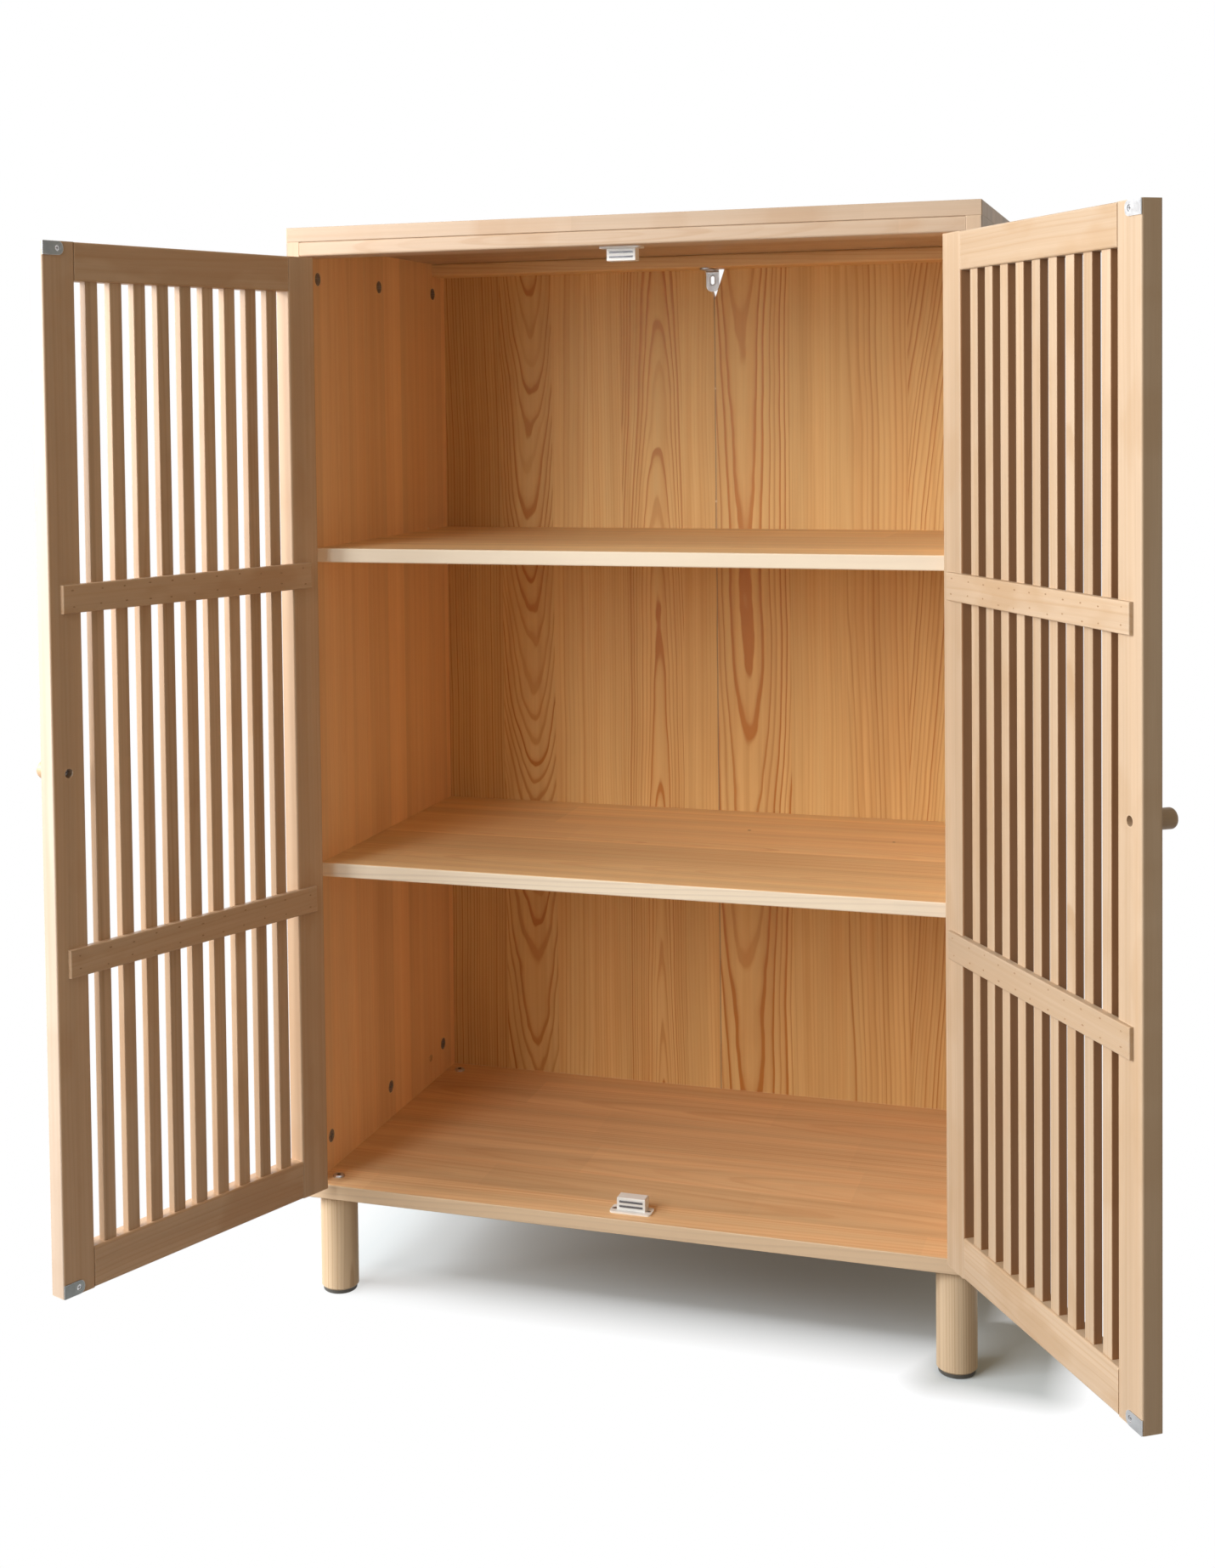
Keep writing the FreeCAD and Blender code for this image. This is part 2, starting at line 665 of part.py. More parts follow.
def make_catches(screw):
    cavity = "pole_spacing + pole_thickness + 2 * fastener_play"
    for name, (level, way, turn) in CATCHES.items():
        item = subpart(f"{name}_catch_housing")
        item.Placement = Placement(Vector(), turn)
        stand(item, y="catch_front", z=level)
        block(item, "base", ("-catch_base_length / 2", "-catch_base_lip", "0"),
              ("catch_base_length", "catch_base_depth", "catch_base_thickness"))
        soften(item, "corners", "catch_corner_round", lambda edge, box: runs_along(edge, "Z"))
        block(item, "body", ("-catch_body_width / 2", "0", "0"),
              ("catch_body_width", "catch_body_depth", "catch_body_height"))
        soften(item, "body_corners", "catch_body_round", lambda edge, box: in_plane(edge, box, "ZMax"))
        for k, end in enumerate((-1, 1)):
            mouth = (f"{end} * catch_screw_spacing / 2", "catch_base_depth / 2 - catch_base_lip",
                     "catch_base_thickness")
            screw_hole(item, f"ear_{k}", mouth, "-z", "small_screw")
        housing(item, "magnet_room", ("-pole_width / 2 - fastener_play", "catch_wall",
                "pole_rise - pole_thickness / 2 - fastener_play"),
                ("pole_width + 2 * fastener_play", "pole_depth - catch_wall", cavity))
        for k in (0, 1):
            housing(item, f"pole_slot_{k}", ("-pole_width / 2 - fastener_play", "-overrun",
                    f"pole_rise + {k} * pole_spacing - pole_thickness / 2 - fastener_play"),
                    ("pole_width + 2 * fastener_play", "catch_wall + 2 * overrun",
                     "pole_thickness + 2 * fastener_play"))
    pole = master("pole_plate")
    block(pole, "plate", ("-pole_width / 2", "-pole_proud", "-pole_thickness / 2"),
          ("pole_width", "pole_proud + pole_depth - fastener_play", "pole_thickness"))
    magnet = master("magnet")
    block(magnet, "bar",
          ("-pole_width / 2", "catch_wall + fastener_play", "-(pole_spacing - pole_thickness) / 2"),
          ("pole_width", "pole_depth - catch_wall - 2 * fastener_play", "pole_spacing - pole_thickness"))
    poles, magnets, screws = [], [], []
    for level, way, turn in CATCHES.values():
        for k in (0, 1):
            rise = f"pole_rise + {k} * pole_spacing"
            poles.append((pole, ("0", "catch_front", f"{level} + {way} * ({rise})"), turn))
        magnet_level = f"{level} + {way} * (pole_rise + pole_spacing / 2)"
        magnets.append((magnet, ("0", "catch_front", magnet_level), turn))
        for end in (-1, 1):
            place = (f"{end} * catch_screw_spacing / 2", "catch_screw_y",
                     f"{level} + {way} * catch_base_thickness")
            screws.append((screw, place, TURNS["-z" if way > 0 else "+z"]))
    group("catch_pole_plates", poles)
    group("catch_magnets", magnets)
    group("catch_screws", screws)


# Wall bracket
def make_bracket(screw):
    item = subpart("wall_bracket")
    points = (
        ("0", "0"),
        ("bracket_leg_depth", "0"),
        ("bracket_leg_depth", "-bracket_thickness - bracket_leg_drop"),
        ("bracket_leg_depth - bracket_thickness", "-bracket_thickness - bracket_leg_drop"),
        ("bracket_leg_depth - bracket_thickness", "-bracket_thickness"),
        ("0", "-bracket_thickness"),
    )
    left = "-bracket_side_offset - bracket_width / 2"
    outline_pad(item, "strip", "YZ_Plane", (left, "bracket_front", "rail_underside"), points, "bracket_width")

    def inner_bend(edge, box):
        sides = ("YMin", "YMax", "ZMin", "ZMax")
        return runs_along(edge, "X") and not any(in_plane(edge, box, side) for side in sides)

    soften(item, "bend", "bracket_bend_round", inner_bend)
    soften(item, "tip", "bracket_tip_round",
           lambda edge, box: in_plane(edge, box, "ZMin") and runs_along(edge, "Y"))
    soften(item, "heel", "bracket_tip_round",
           lambda edge, box: in_plane(edge, box, "YMin") and runs_along(edge, "Z"))
    middle = "-bracket_side_offset"
    slot_level = "rail_underside - bracket_thickness - bracket_leg_drop + bracket_slot_rise"
    reach = "(bracket_slot_height - bracket_slot_width) / 2"
    for name, way in (("high", 1), ("low", -1)):
        bore(item, f"slot_{name}", (middle, "back_plane + overrun", f"{slot_level} + {way} * {reach}"), "-y",
             "bracket_slot_width", "bracket_thickness + 2 * overrun")
    housing(item, "slot_middle",
            (f"{middle} - bracket_slot_width / 2", "back_plane - bracket_thickness - overrun",
             f"{slot_level} - {reach}"),
            ("bracket_slot_width", "bracket_thickness + 2 * overrun", f"2 * {reach}"))
    mouth = (middle, "bracket_screw_y", "rail_underside - bracket_thickness")
    screw_hole(item, "screw_hole", mouth, "+z", "small_screw")
    group("bracket_screw", [(screw, mouth, TURNS["+z"])])


# Doors, drawn closed in a frame at the hinge axis: X along the door, Y through it, Z from the floor
def mortise(item, side, name, start, low, height):
    """The room for one rail's tenon in a stile."""
    housing(item, name, (along(side, start, "tenon_length + joint_play + overrun"),
            "door_mid_thickness - tenon_thickness / 2 - joint_play", f"{low} + tenon_shoulder - joint_play"),
            ("tenon_length + joint_play + overrun", "tenon_thickness + 2 * joint_play",
             f"{height} - 2 * tenon_shoulder + 2 * joint_play"))


def make_stile(side, name, start):
    item = subpart(f"{side}_door_{name}_stile", side)
    block(item, "stile", (along(side, start, "stile_width"), "hinge_setout", "door_low"),
          ("stile_width", "door_thickness", "door_height"))
    soften(item, "eased_edges", "door_edge_round", lambda edge, box: runs_along(edge, "Z"))
    free = name == "free"
    tenon_start = "slat_panel_end - overrun" if free else "slat_panel_start - tenon_length - joint_play"
    mortise(item, side, "low_mortise", tenon_start, "door_low", "door_bottom_rail_height")
    mortise(item, side, "high_mortise", tenon_start, "slat_panel_high", "door_top_rail_height")
    lap = "slat_panel_end - overrun" if free else "batten_start - joint_play"
    for batten in ("upper", "lower"):
        housing(item, f"{batten}_batten_housing", (along(side, lap, "batten_lap + joint_play + overrun"),
                "slat_inside", f"{batten}_batten_low - joint_play"),
                ("batten_lap + joint_play + overrun", "slat_recess + overrun",
                 "batten_height + 2 * joint_play"))
    return item


def make_stiles(side):
    inwards = "+x" if side == "left" else "-x"
    stile = make_stile(side, "hinge", "door_edge")
    for hinge in HINGES:
        for k, way in enumerate((-1, 1)):
            level = f"{hinge} + hinge_height / 2 + {way} * hinge_screw_spacing / 2"
            mouth = (along(side, "door_edge - overrun"), "hinge_screw_setback", level)
            bore(stile, f"{hinge}_screw_{k}", mouth, inwards, "small_screw_diameter + 2 * fastener_play",
                 "small_screw_length + overrun")
    stile = make_stile(side, "free", "slat_panel_end")
    bore(stile, "knob_hole", (along(side, "knob_u"), "hinge_setout - overrun", "knob_level"), "+y",
         "knob_screw_diameter + 2 * fastener_play", "door_thickness")
    bore(stile, "knob_counterbore", (along(side, "knob_u"), "door_inside + overrun", "knob_level"), "-y",
         "knob_counterbore_diameter", "knob_counterbore_depth + overrun")
    for name in ("upper", "lower"):
        screw_hole(stile, f"{name}_strike_screw", (along(side, "strike_screw_u"), "door_inside",
                   f"{name}_strike_low + strike_height / 2"), "-y", "small_screw")


def make_door_rails(side):
    rails = {
        "top": ("slat_panel_high", "door_top_rail_height", "slat_panel_high - overrun"),
        "bottom": ("door_low", "door_bottom_rail_height", "slat_panel_low - slat_end_housing"),
    }
    for name, (low, height, mortise_low) in rails.items():
        item = subpart(f"{side}_door_{name}_rail", side)
        block(item, "rail", (along(side, "slat_panel_start", "slat_panel_width"), "hinge_setout", low),
              ("slat_panel_width", "door_thickness", height))
        soften(item, "eased_edges", "door_edge_round", lambda edge, box: runs_along(edge, "X"))
        reach = "slat_panel_width + 2 * tenon_length"
        block(item, "tenons", (along(side, "slat_panel_start - tenon_length", reach),
              "door_mid_thickness - tenon_thickness / 2", f"{low} + tenon_shoulder"),
              (reach, "tenon_thickness", f"{height} - 2 * tenon_shoulder"))
        mortise_start = along(side, "slat_panel_start + slat_gap - joint_play", "slat_width + 2 * joint_play")
        first = housing(item, "slat_mortise", (mortise_start, "slat_front - joint_play", mortise_low),
                        ("slat_width + 2 * joint_play", "slat_thickness + 2 * joint_play",
                         "slat_end_housing + overrun"))
        row = item.newObject("PartDesign::LinearPattern", f"{item.Label}_slat_mortises")
        row.Originals = [first]
        row.Direction = (next(f for f in item.Origin.OriginFeatures if f.Role == "X_Axis"), [""])
        row.Reversed = side == "right"
        row.Mode = "Spacing"
        bind(row, Offset="slat_pitch")
        row.Occurrences = SLATS
        item.Tip = row


def make_slats(side):
    slat = master(f"{side}_slat")
    block(slat, "strip", (along(side, "slat_panel_start + slat_gap", "slat_width"), "slat_front",
          "slat_panel_low - slat_end_housing + joint_play"),
          ("slat_width", "slat_thickness", "slat_panel_height + 2 * slat_end_housing - 2 * joint_play"))
    soften(slat, "eased_edges", "slat_edge_round", lambda edge, box: runs_along(edge, "Z"))
    way = 1 if side == "left" else -1
    copies = [(slat, (f"{way * k} * slat_pitch", "0", "0"), TURNS["+z"]) for k in range(SLATS)]
    group(f"{side}_door_slats", copies, side)


def make_battens(side):
    for name in ("upper", "lower"):
        item = subpart(f"{side}_door_{name}_batten", side)
        block(item, "batten",
              (along(side, "batten_start", "batten_length"), "slat_inside", f"{name}_batten_low"),
              ("batten_length", "batten_thickness", "batten_height"))
        soften(item, "eased_edges", "batten_edge_round", lambda edge, box: in_plane(edge, box, "YMax"))


def make_knob(side):
    item = subpart(f"{side}_door_knob", side)
    centre = along(side, "knob_u")
    round_pad(item, "dowel", (centre, "hinge_setout", "knob_level"), "knob_diameter", "knob_length", "-y")
    soften(item, "end_round", "knob_end_round", lambda edge, box: in_plane(edge, box, "YMin"))
    bore(item, "screw_hole", (centre, "hinge_setout + overrun", "knob_level"), "-y",
         "knob_screw_diameter + 2 * fastener_play", "knob_screw_reach + fastener_play + overrun")
    screw = subpart(f"{side}_door_knob_screw", side)
    seat = "door_inside - knob_counterbore_depth"
    place = (centre, seat, "knob_level")
    round_pad(screw, "shank", place, "knob_screw_diameter", "knob_bore_depth + knob_screw_reach", "-y")
    round_pad(screw, "head", place, "knob_screw_head_diameter", "knob_screw_head_height", "+y")
    bevel(screw, "head_bevel", "knob_screw_head_height / 2", lambda edge, box: in_plane(edge, box, "YMax"))


def make_strikes(side, screw):
    plate = master(f"{side}_strike")
    block(plate, "plate", (along(side, "strike_start", "strike_length"), "door_inside", "0"),
          ("strike_length", "strike_thickness", "strike_height"))
    inner_end = "XMin" if side == "left" else "XMax"
    soften(plate, "round_end", "strike_round",
           lambda edge, box: in_plane(edge, box, inner_end) and runs_along(edge, "Y"))
    mouth = (along(side, "strike_screw_u"), "door_inside + strike_thickness + overrun", "strike_height / 2")
    bore(plate, "screw_hole", mouth, "-y", "small_screw_head_diameter + 2 * fastener_play",
         "strike_thickness + 2 * overrun")
    plates, screws = [], []
    for low in ("upper_strike_low", "lower_strike_low"):
        plates.append((plate, ("0", "0", low), TURNS["+z"]))
        seat = (along(side, "strike_screw_u"), "door_inside", f"{low} + strike_height / 2")
        screws.append((screw, seat, TURNS["-y"]))
    group(f"{side}_door_strike_plates", plates, side)
    group(f"{side}_door_strike_screws", screws, side)


def hinge_leaf(side, name):
    """One leaf of a closed butt hinge at the axis, with its share of the knuckles."""
    item = master(f"{side}_{name}_leaf")
    near = "hinge_leaf_gap / 2"
    other_side = "left" if side == "right" else "right"
    leaf_side = side if name == "door" else other_side
    block(item, "plate", (along(leaf_side, near, "hinge_leaf_thickness"), "0", "0"),
          ("hinge_leaf_thickness", "hinge_leaf_width", "hinge_height"))
    round_pad(item, "knuckle", ("0", "0", "0"), "hinge_knuckle_diameter", "hinge_height")
    room = "hinge_knuckle_diameter + 2 * hinge_knuckle_gap"
    if name == "frame":
        bore(item, "middle_room", ("0", "0", "end_knuckle"), "+z", room, "hinge_middle_knuckle")
    else:
        reach = "end_knuckle + hinge_knuckle_gap + overrun"
        bore(item, "low_room", ("0", "0", "-overrun"), "+z", room, reach)
        bore(item, "high_room", ("0", "0", "hinge_height + overrun"), "-z", room, reach)
    bore(item, "pin_hole", ("0", "0", "-overrun"), "+z", "hinge_pin_diameter + 2 * hinge_pin_play",
         "hinge_height + 2 * overrun")
    towards = {"left": "+x", "right": "-x"}[leaf_side]
    for k, way in enumerate((-1, 1)):
        level = f"hinge_height / 2 + {way} * hinge_screw_spacing / 2"
        mouth = (along(leaf_side, near), "hinge_screw_setback", level)
        screw_hole(item, f"screw_{k}", mouth, towards, "small_screw")
    return item


def make_hinges(side, screw):
    """The hinges of one door, and the places of the screws that hold their frame leaves."""
    axis_x = across(side, "hinge_x")
    places = [(axis_x, "-hinge_setout", low) for low in HINGES]
    frame_leaf = hinge_leaf(side, "frame")
    group(f"{side}_hinge_frame_leaves", [(frame_leaf, place, TURNS["+z"]) for place in places])
    pin = master(f"{side}_pin")
    round_pad(pin, "rod", ("0", "0", "0"), "hinge_pin_diameter", "hinge_height")
    group(f"{side}_hinge_pins", [(pin, place, TURNS["+z"]) for place in places])
    door_leaf = hinge_leaf(side, "door")
    group(f"{side}_door_hinge_leaves", [(door_leaf, ("0", "0", low), TURNS["+z"]) for low in HINGES], side)
    near = "hinge_leaf_gap / 2"
    towards, away = ("+x", "-x") if side == "left" else ("-x", "+x")
    door_screws, frame_screws = [], []
    for low in HINGES:
        for way in (-1, 1):
            level = f"{low} + hinge_height / 2 + {way} * hinge_screw_spacing / 2"
            door_screws.append((screw, (along(side, near), "hinge_screw_setback", level), TURNS[towards]))
            place = (across(side, f"hinge_x + {near}"), "hinge_screw_setback - hinge_setout", level)
            frame_screws.append((screw, place, TURNS[away]))
    group(f"{side}_door_hinge_screws", door_screws, side)
    return frame_screws


small_screw = countersunk("small_screw", "small_screw")
make_top_and_bottom_boards()
make_side_panels()
make_shelves()
make_rails()
make_back_panels()
make_legs()
make_cams()
make_dowels()
make_back_screws()
make_catches(small_screw)
make_bracket(small_screw)
frame_screws = []
for hand in SIDES:
    make_stiles(hand)
    make_door_rails(hand)
    make_slats(hand)
    make_battens(hand)
    make_knob(hand)
    make_strikes(hand, small_screw)
    frame_screws += make_hinges(hand, small_screw)
group("hinge_frame_screws", frame_screws)
doc.recompute()

for item in doc.Objects:
    if "Invalid" in item.State or "Error" in item.State:
        raise RuntimeError(f"{item.Label} failed: {item.State}")
for item in subparts:
    if item.Shape.isNull() or not item.Shape.isValid():
        raise RuntimeError(f"{item.Label} has no valid shape")

os.makedirs("parts", exist_ok=True)
for item in subparts:
    item.Shape.exportStep(f"parts/{item.Label}.step")
print(len(subparts), "sub-parts,", sum(len(item.Shape.Solids) for item in subparts), "solids")
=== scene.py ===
import math
import random
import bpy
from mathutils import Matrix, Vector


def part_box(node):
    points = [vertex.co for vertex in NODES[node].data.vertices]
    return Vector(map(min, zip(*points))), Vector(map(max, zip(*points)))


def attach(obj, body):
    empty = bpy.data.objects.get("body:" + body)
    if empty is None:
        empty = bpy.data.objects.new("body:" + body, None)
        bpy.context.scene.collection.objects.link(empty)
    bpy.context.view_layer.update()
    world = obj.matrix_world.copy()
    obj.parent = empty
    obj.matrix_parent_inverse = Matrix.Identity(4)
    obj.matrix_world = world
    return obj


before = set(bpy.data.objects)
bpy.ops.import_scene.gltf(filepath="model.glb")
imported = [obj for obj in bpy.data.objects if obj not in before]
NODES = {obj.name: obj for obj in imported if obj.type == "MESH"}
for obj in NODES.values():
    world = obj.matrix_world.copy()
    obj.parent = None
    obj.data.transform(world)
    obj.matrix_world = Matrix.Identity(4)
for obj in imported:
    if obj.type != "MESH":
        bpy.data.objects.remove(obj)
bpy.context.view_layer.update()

from types import SimpleNamespace

import bmesh
import bpy
from mathutils import Matrix, Vector

# Picture size that the camera's figures belong to, in pixels.
PICTURE_WIDTH = 1430
PICTURE_HEIGHT = 1845

# The camera: where it stands (m), how it is turned (rad), its focal length and optical centre (px).
CAMERA_PLACE = Vector((0.5768, -2.1076, 1.0009))
CAMERA_YAW = 0.3191
CAMERA_PITCH = -0.0387
CAMERA_ROLL = -0.0119
FOCAL_LENGTH_PX = 2395.3
OPTICAL_CENTRE_PX = (653.3, 569.1)
SENSOR_WIDTH = 36.0

# The studio lights: where each stands (m), the point it is aimed at, its width (m) and its power (W).
LIGHTS = {
    "key": ((-1.35, -2.0, 1.75), (0, 0, 0.7), 1.8, 62.0),
    "side": ((-2.6, -0.9, 1.4), (0, 0, 0.7), 1.5, 90.0),
    "back": ((-1.6, 2.8, 1.9), (0, 0.2, 0.6), 2.0, 35.0),
}
SKY_STRENGTH = 0.28
SKY_TINT = (1.0, 0.82, 0.56)

# The upright line each door turns about, and the angle it stands open at rest.
HINGES = {
    "left_door": (Vector((-0.3965, -0.054, 0)), math.radians(-111)),
    "right_door": (Vector((0.3285, -0.054, 0)), math.radians(124)),
}
# Which way each door runs from its hinge when shut.
DOOR_SIDES = {"left_door": 1, "right_door": -1}
# The shut doors' inner face.
DOOR_FACE = -0.0295

# Colours, linear: each tone of wood as its pale earlywood and its darker latewood.
PALE = ((0.57, 0.43, 0.30), (0.45, 0.285, 0.15))
# The left door's tone: redder and darker than the right's, painted shade for the warm bounced light on its
# shaded inner face.
SHADED_REDDISH = ((0.57, 0.40, 0.262), (0.44, 0.25, 0.125))
CREAM = ((0.62, 0.47, 0.345), (0.51, 0.33, 0.20))
HONEY = ((0.84, 0.575, 0.25), (0.56, 0.225, 0.05))
SHELF = ((0.94, 0.68, 0.37), (0.70, 0.36, 0.14))
BOTTOM = ((0.89, 0.61, 0.34), (0.64, 0.31, 0.125))
AMBER = ((0.95, 0.64, 0.37), (0.77, 0.42, 0.19))
LEG = ((0.78, 0.61, 0.42), (0.55, 0.36, 0.20))
DOWEL = ((0.60, 0.42, 0.26), (0.50, 0.31, 0.17))
FILLED = ((0.30, 0.17, 0.08), (0.20, 0.10, 0.045))
PLUG = ((0.62, 0.38, 0.18), (0.42, 0.22, 0.09))
# The left door takes the tone with painted shade.
DOOR_TONES = {"left_door": SHADED_REDDISH, "right_door": PALE}
# What multiplies a tone as painted light and shade: on faces that look along a door's width, and on the side
# panels' outer faces.
# The left door's free stile is painted paler where light falls on it; the right door's slats and hinge stile
# are painted darker, as shade.
SIDE_LIGHT_AND_SHADE = {"left_door_free_stile": (1.0, 1.17, 1.45), "right_door_hinge_stile": (0.67, 0.47, 0.33),
              "right_door_slats": (0.67, 0.47, 0.33)}
# The side panels' outer faces are painted darker and cooler than their inner faces: painted shade, so the lit
# left face does not burn out.
OUTSIDE_SHADE = (0.55, 0.61, 0.73)
# Single tones: paler front edges painted as lit, rubbed corners, small marks in the wood, the seam's painted
# shade, and what isn't wood.
SHELF_LIT_EDGE = (0.94, 0.85, 0.71)
BOTTOM_LIT_EDGE = (0.74, 0.57, 0.40)
RUBBED = (0.88, 0.72, 0.52)
DARK_SPOT_AND_SEAM_SHADE = (0.20, 0.09, 0.035)
PALE_KNOT = (0.80, 0.62, 0.42)
PALE_DOT = (0.84, 0.68, 0.48)
BRIGHT_METAL = (0.85, 0.85, 0.86)
WHITE_PLASTIC = (0.86, 0.86, 0.85)
# The floor's tone as it is seen, and as it throws light back.
FLOOR_SEEN = (0.76, 0.84, 0.90)
FLOOR_BOUNCE = (0.27, 0.25, 0.23)


def new_material(name):
    """An empty material and its node tree."""
    material = bpy.data.materials.new(name)
    material.use_nodes = True
    material.node_tree.nodes.clear()
    return material, material.node_tree


def node(tree, kind, inputs=None, **settings):
    """A shader node. An input is given by its name or number, as a value or as a socket to link."""
    made = tree.nodes.new(kind)
    for key, value in settings.items():
        setattr(made, key, value)
    for key, value in (inputs or {}).items():
        if isinstance(value, bpy.types.NodeSocket):
            tree.links.new(value, made.inputs[key])
        else:
            made.inputs[key].default_value = value
    return made


def maths(tree, operation, *values, clamp=False):
    """A Math node's result."""
    made = node(tree, "ShaderNodeMath", dict(enumerate(values)), operation=operation, use_clamp=clamp)
    return made.outputs[0]


def vector(tree, x, y, z):
    """Three numbers or sockets as one vector."""
    return node(tree, "ShaderNodeCombineXYZ", {0: x, 1: y, 2: z}).outputs[0]


def noise(tree, place, scale, detail=2.0):
    """A Noise Texture: its value and its colour, whose channels are three more values."""
    made = node(tree, "ShaderNodeTexNoise", {"Vector": place, "Scale": scale, "Detail": detail})
    return made.outputs["Fac"], made.outputs["Color"]


def white_noise(tree, place):
    """A value from 0 to 1 that differs from one place to the next."""
    return node(tree, "ShaderNodeTexWhiteNoise", {"Vector": place}).outputs["Value"]


def split(tree, colour):
    """A colour's or vector's three channels."""
    made = node(tree, "ShaderNodeSeparateXYZ", {0: colour})
    return made.outputs[0], made.outputs[1], made.outputs[2]


def spread(tree, value, low, high, start=0.0, stop=1.0):
    """value carried from the range start..stop to the range low..high, and held there."""
    return node(tree, "ShaderNodeMapRange", {0: value, 1: start, 2: stop, 3: low, 4: high}).outputs[0]


def centred(tree, value, amount, base):
    """base plus a wave of this amount from end to end, from a value between 0 and 1."""
    return maths(tree, "MULTIPLY_ADD", maths(tree, "SUBTRACT", value, 0.5), amount, base)


def ramp(tree, value, stops, interpolation="LINEAR"):
    """A Color Ramp with these (place, colour) stops."""
    made = node(tree, "ShaderNodeValToRGB", {0: value})
    elements = made.color_ramp.elements
    made.color_ramp.interpolation = interpolation
    while len(elements) > 1:
        elements.remove(elements[-1])
    for number, (place, colour) in enumerate(stops):
        element = elements[0] if number == 0 else elements.new(place)
        element.position = place
        element.color = (*colour, 1.0)
    return made.outputs[0]


def mix(tree, factor, first, second, blend="MIX"):
    """Two colours mixed."""
    made = node(tree, "ShaderNodeMix", data_type="RGBA", blend_type=blend)
    for key, value in ((0, factor), (6, first), (7, second)):
        if isinstance(value, bpy.types.NodeSocket):
            tree.links.new(value, made.inputs[key])
        elif key == 0:
            made.inputs[key].default_value = value
        else:
            made.inputs[key].default_value = (*value, 1.0)
    return made.outputs[2]


def shaded(tree, colour, value):
    """A colour made lighter or darker by a number."""
    grey = node(tree, "ShaderNodeCombineColor", {0: value, 1: value, 2: value}).outputs[0]
    return mix(tree, 1.0, colour, grey, "MULTIPLY")


def corner_wear(tree, radius, low, high):
    """How near a point is to a sharp edge, from low to high."""
    softened = node(tree, "ShaderNodeBevel", {"Radius": radius}, samples=4).outputs[0]
    plain = node(tree, "ShaderNodeNewGeometry").outputs["Normal"]
    facing = node(tree, "ShaderNodeVectorMath", {0: softened, 1: plain}, operation="DOT_PRODUCT")
    return spread(tree, facing.outputs["Value"], high, low, 0.75, 0.99)


def finish(tree, shader):
    """Ends a material with its output."""
    output = node(tree, "ShaderNodeOutputMaterial")
    tree.links.new(shader.outputs[0], output.inputs[0])


# Ranges that a stave's figures are stored in as shares from 0 to 1.
PITH_REACH = 0.6
DEPTH_RANGE = (0.0, 0.16)
SLOPE_RANGE = (-0.20, 0.20)
SPACING_RANGE = (0.002, 0.012)
TONE_RANGE = (0.70, 1.30)
# A Color Ramp, which looks the figures up, holds no more stops than this.
MOST_STAVES = 32
# What turns a pith's place into a key that is its stave's own.
KEY_SCALE = 37.0
# What random staves are drawn from: their width as a share of the mean, where in it the middle of the rings
# lies, how many staves are flat sawn, the pith's depth in those and in the rest, how far to the side it lies
# in the rest, the grain's slope, the rings' spacing and the tone.
WIDTH_SHARES = (0.75, 1.3)
PITH_SHARES = (0.1, 0.9)
FLAT_SAWN = 0.4
FLAT_SAWN_DEPTHS = (0.012, 0.05)
OTHER_DEPTHS = (0.0, 0.05)
PITH_DISTANCES = (0.06, 0.14)
SLOPES = (0.02, 0.07)
SPACINGS = (0.0035, 0.0062)
STAVE_TONES = (0.93, 1.05)
# Scales of what bends and tones the grain: across it, along it and, in the last three, through the board.
SLOW_BENDS = (3.0, 2.2)
QUICK_BENDS = (26.0, 9.0)
BLOTCHES = (14.0, 4.0)
CLOUDS = (17.0, 7.0)
FINE_FIBRES = (900.0, 14.0, 900.0)
STREAKS = (120.0, 1.6, 120.0)
BANDS = (34.0, 0.9, 20.0)
# How far the bends carry the rings at a waviness of 1 (m): slow ones sideways and down, quick ones down
# and out.
SLOW_REACH = (0.030, 0.035)
QUICK_REACH = (0.006, 0.0035)
# How unevenly the rings are spaced, in rings, over what scale, and how strong the faintest and darkest are.
UNEVEN_RINGS = 1.3
UNEVEN_SCALE = 0.45
RING_STRENGTH = (0.25, 1.10)
# Depths over which a tone at a board's front edge, at its outer face and at a seam gives way, and how far
# a seam sways (m).
FRONT_DEPTHS = (0.0003, 0.0016)
OUTSIDE_DEPTHS = (0.0005, 0.0020)
SEAM_DEPTHS = (0.0003, 0.0009)
SEAM_SWAY = 0.0022
# One growth ring from inside out: how much of it is latewood.
RING = [(0.0, 0.10), (0.06, 0.0), (0.48, 0.08), (0.66, 0.35), (0.76, 0.95), (0.93, 1.0), (1.0, 0.10)]


def share(value, limits):
    """Where value lies between two limits, from 0 to 1."""
    return min(max((value - limits[0]) / (limits[1] - limits[0]), 0.0), 1.0)


def random_staves(seed, low, high, width, contrast=(0.25, 0.8)):
    """Glued staves from low to high across a board.
    Each has its start, its pith's place and depth, its slope, ring spacing, tone and contrast."""
    draw = random.Random(seed)
    staves = []
    place = low
    while place < high:
        this_width = width * draw.uniform(*WIDTH_SHARES)
        middle = place + this_width * draw.uniform(*PITH_SHARES)
        flat_sawn = draw.random() < FLAT_SAWN
        depth = draw.uniform(*(FLAT_SAWN_DEPTHS if flat_sawn else OTHER_DEPTHS))
        pith = middle if flat_sawn else middle + draw.choice((-1, 1)) * draw.uniform(*PITH_DISTANCES)
        slope = draw.uniform(*SLOPES) * draw.choice((-1, 1))
        spacing = draw.uniform(*SPACINGS)
        tone = draw.uniform(*STAVE_TONES)
        staves.append((place, pith, depth, slope, spacing, tone, draw.uniform(*contrast)))
        place += this_width
    return staves


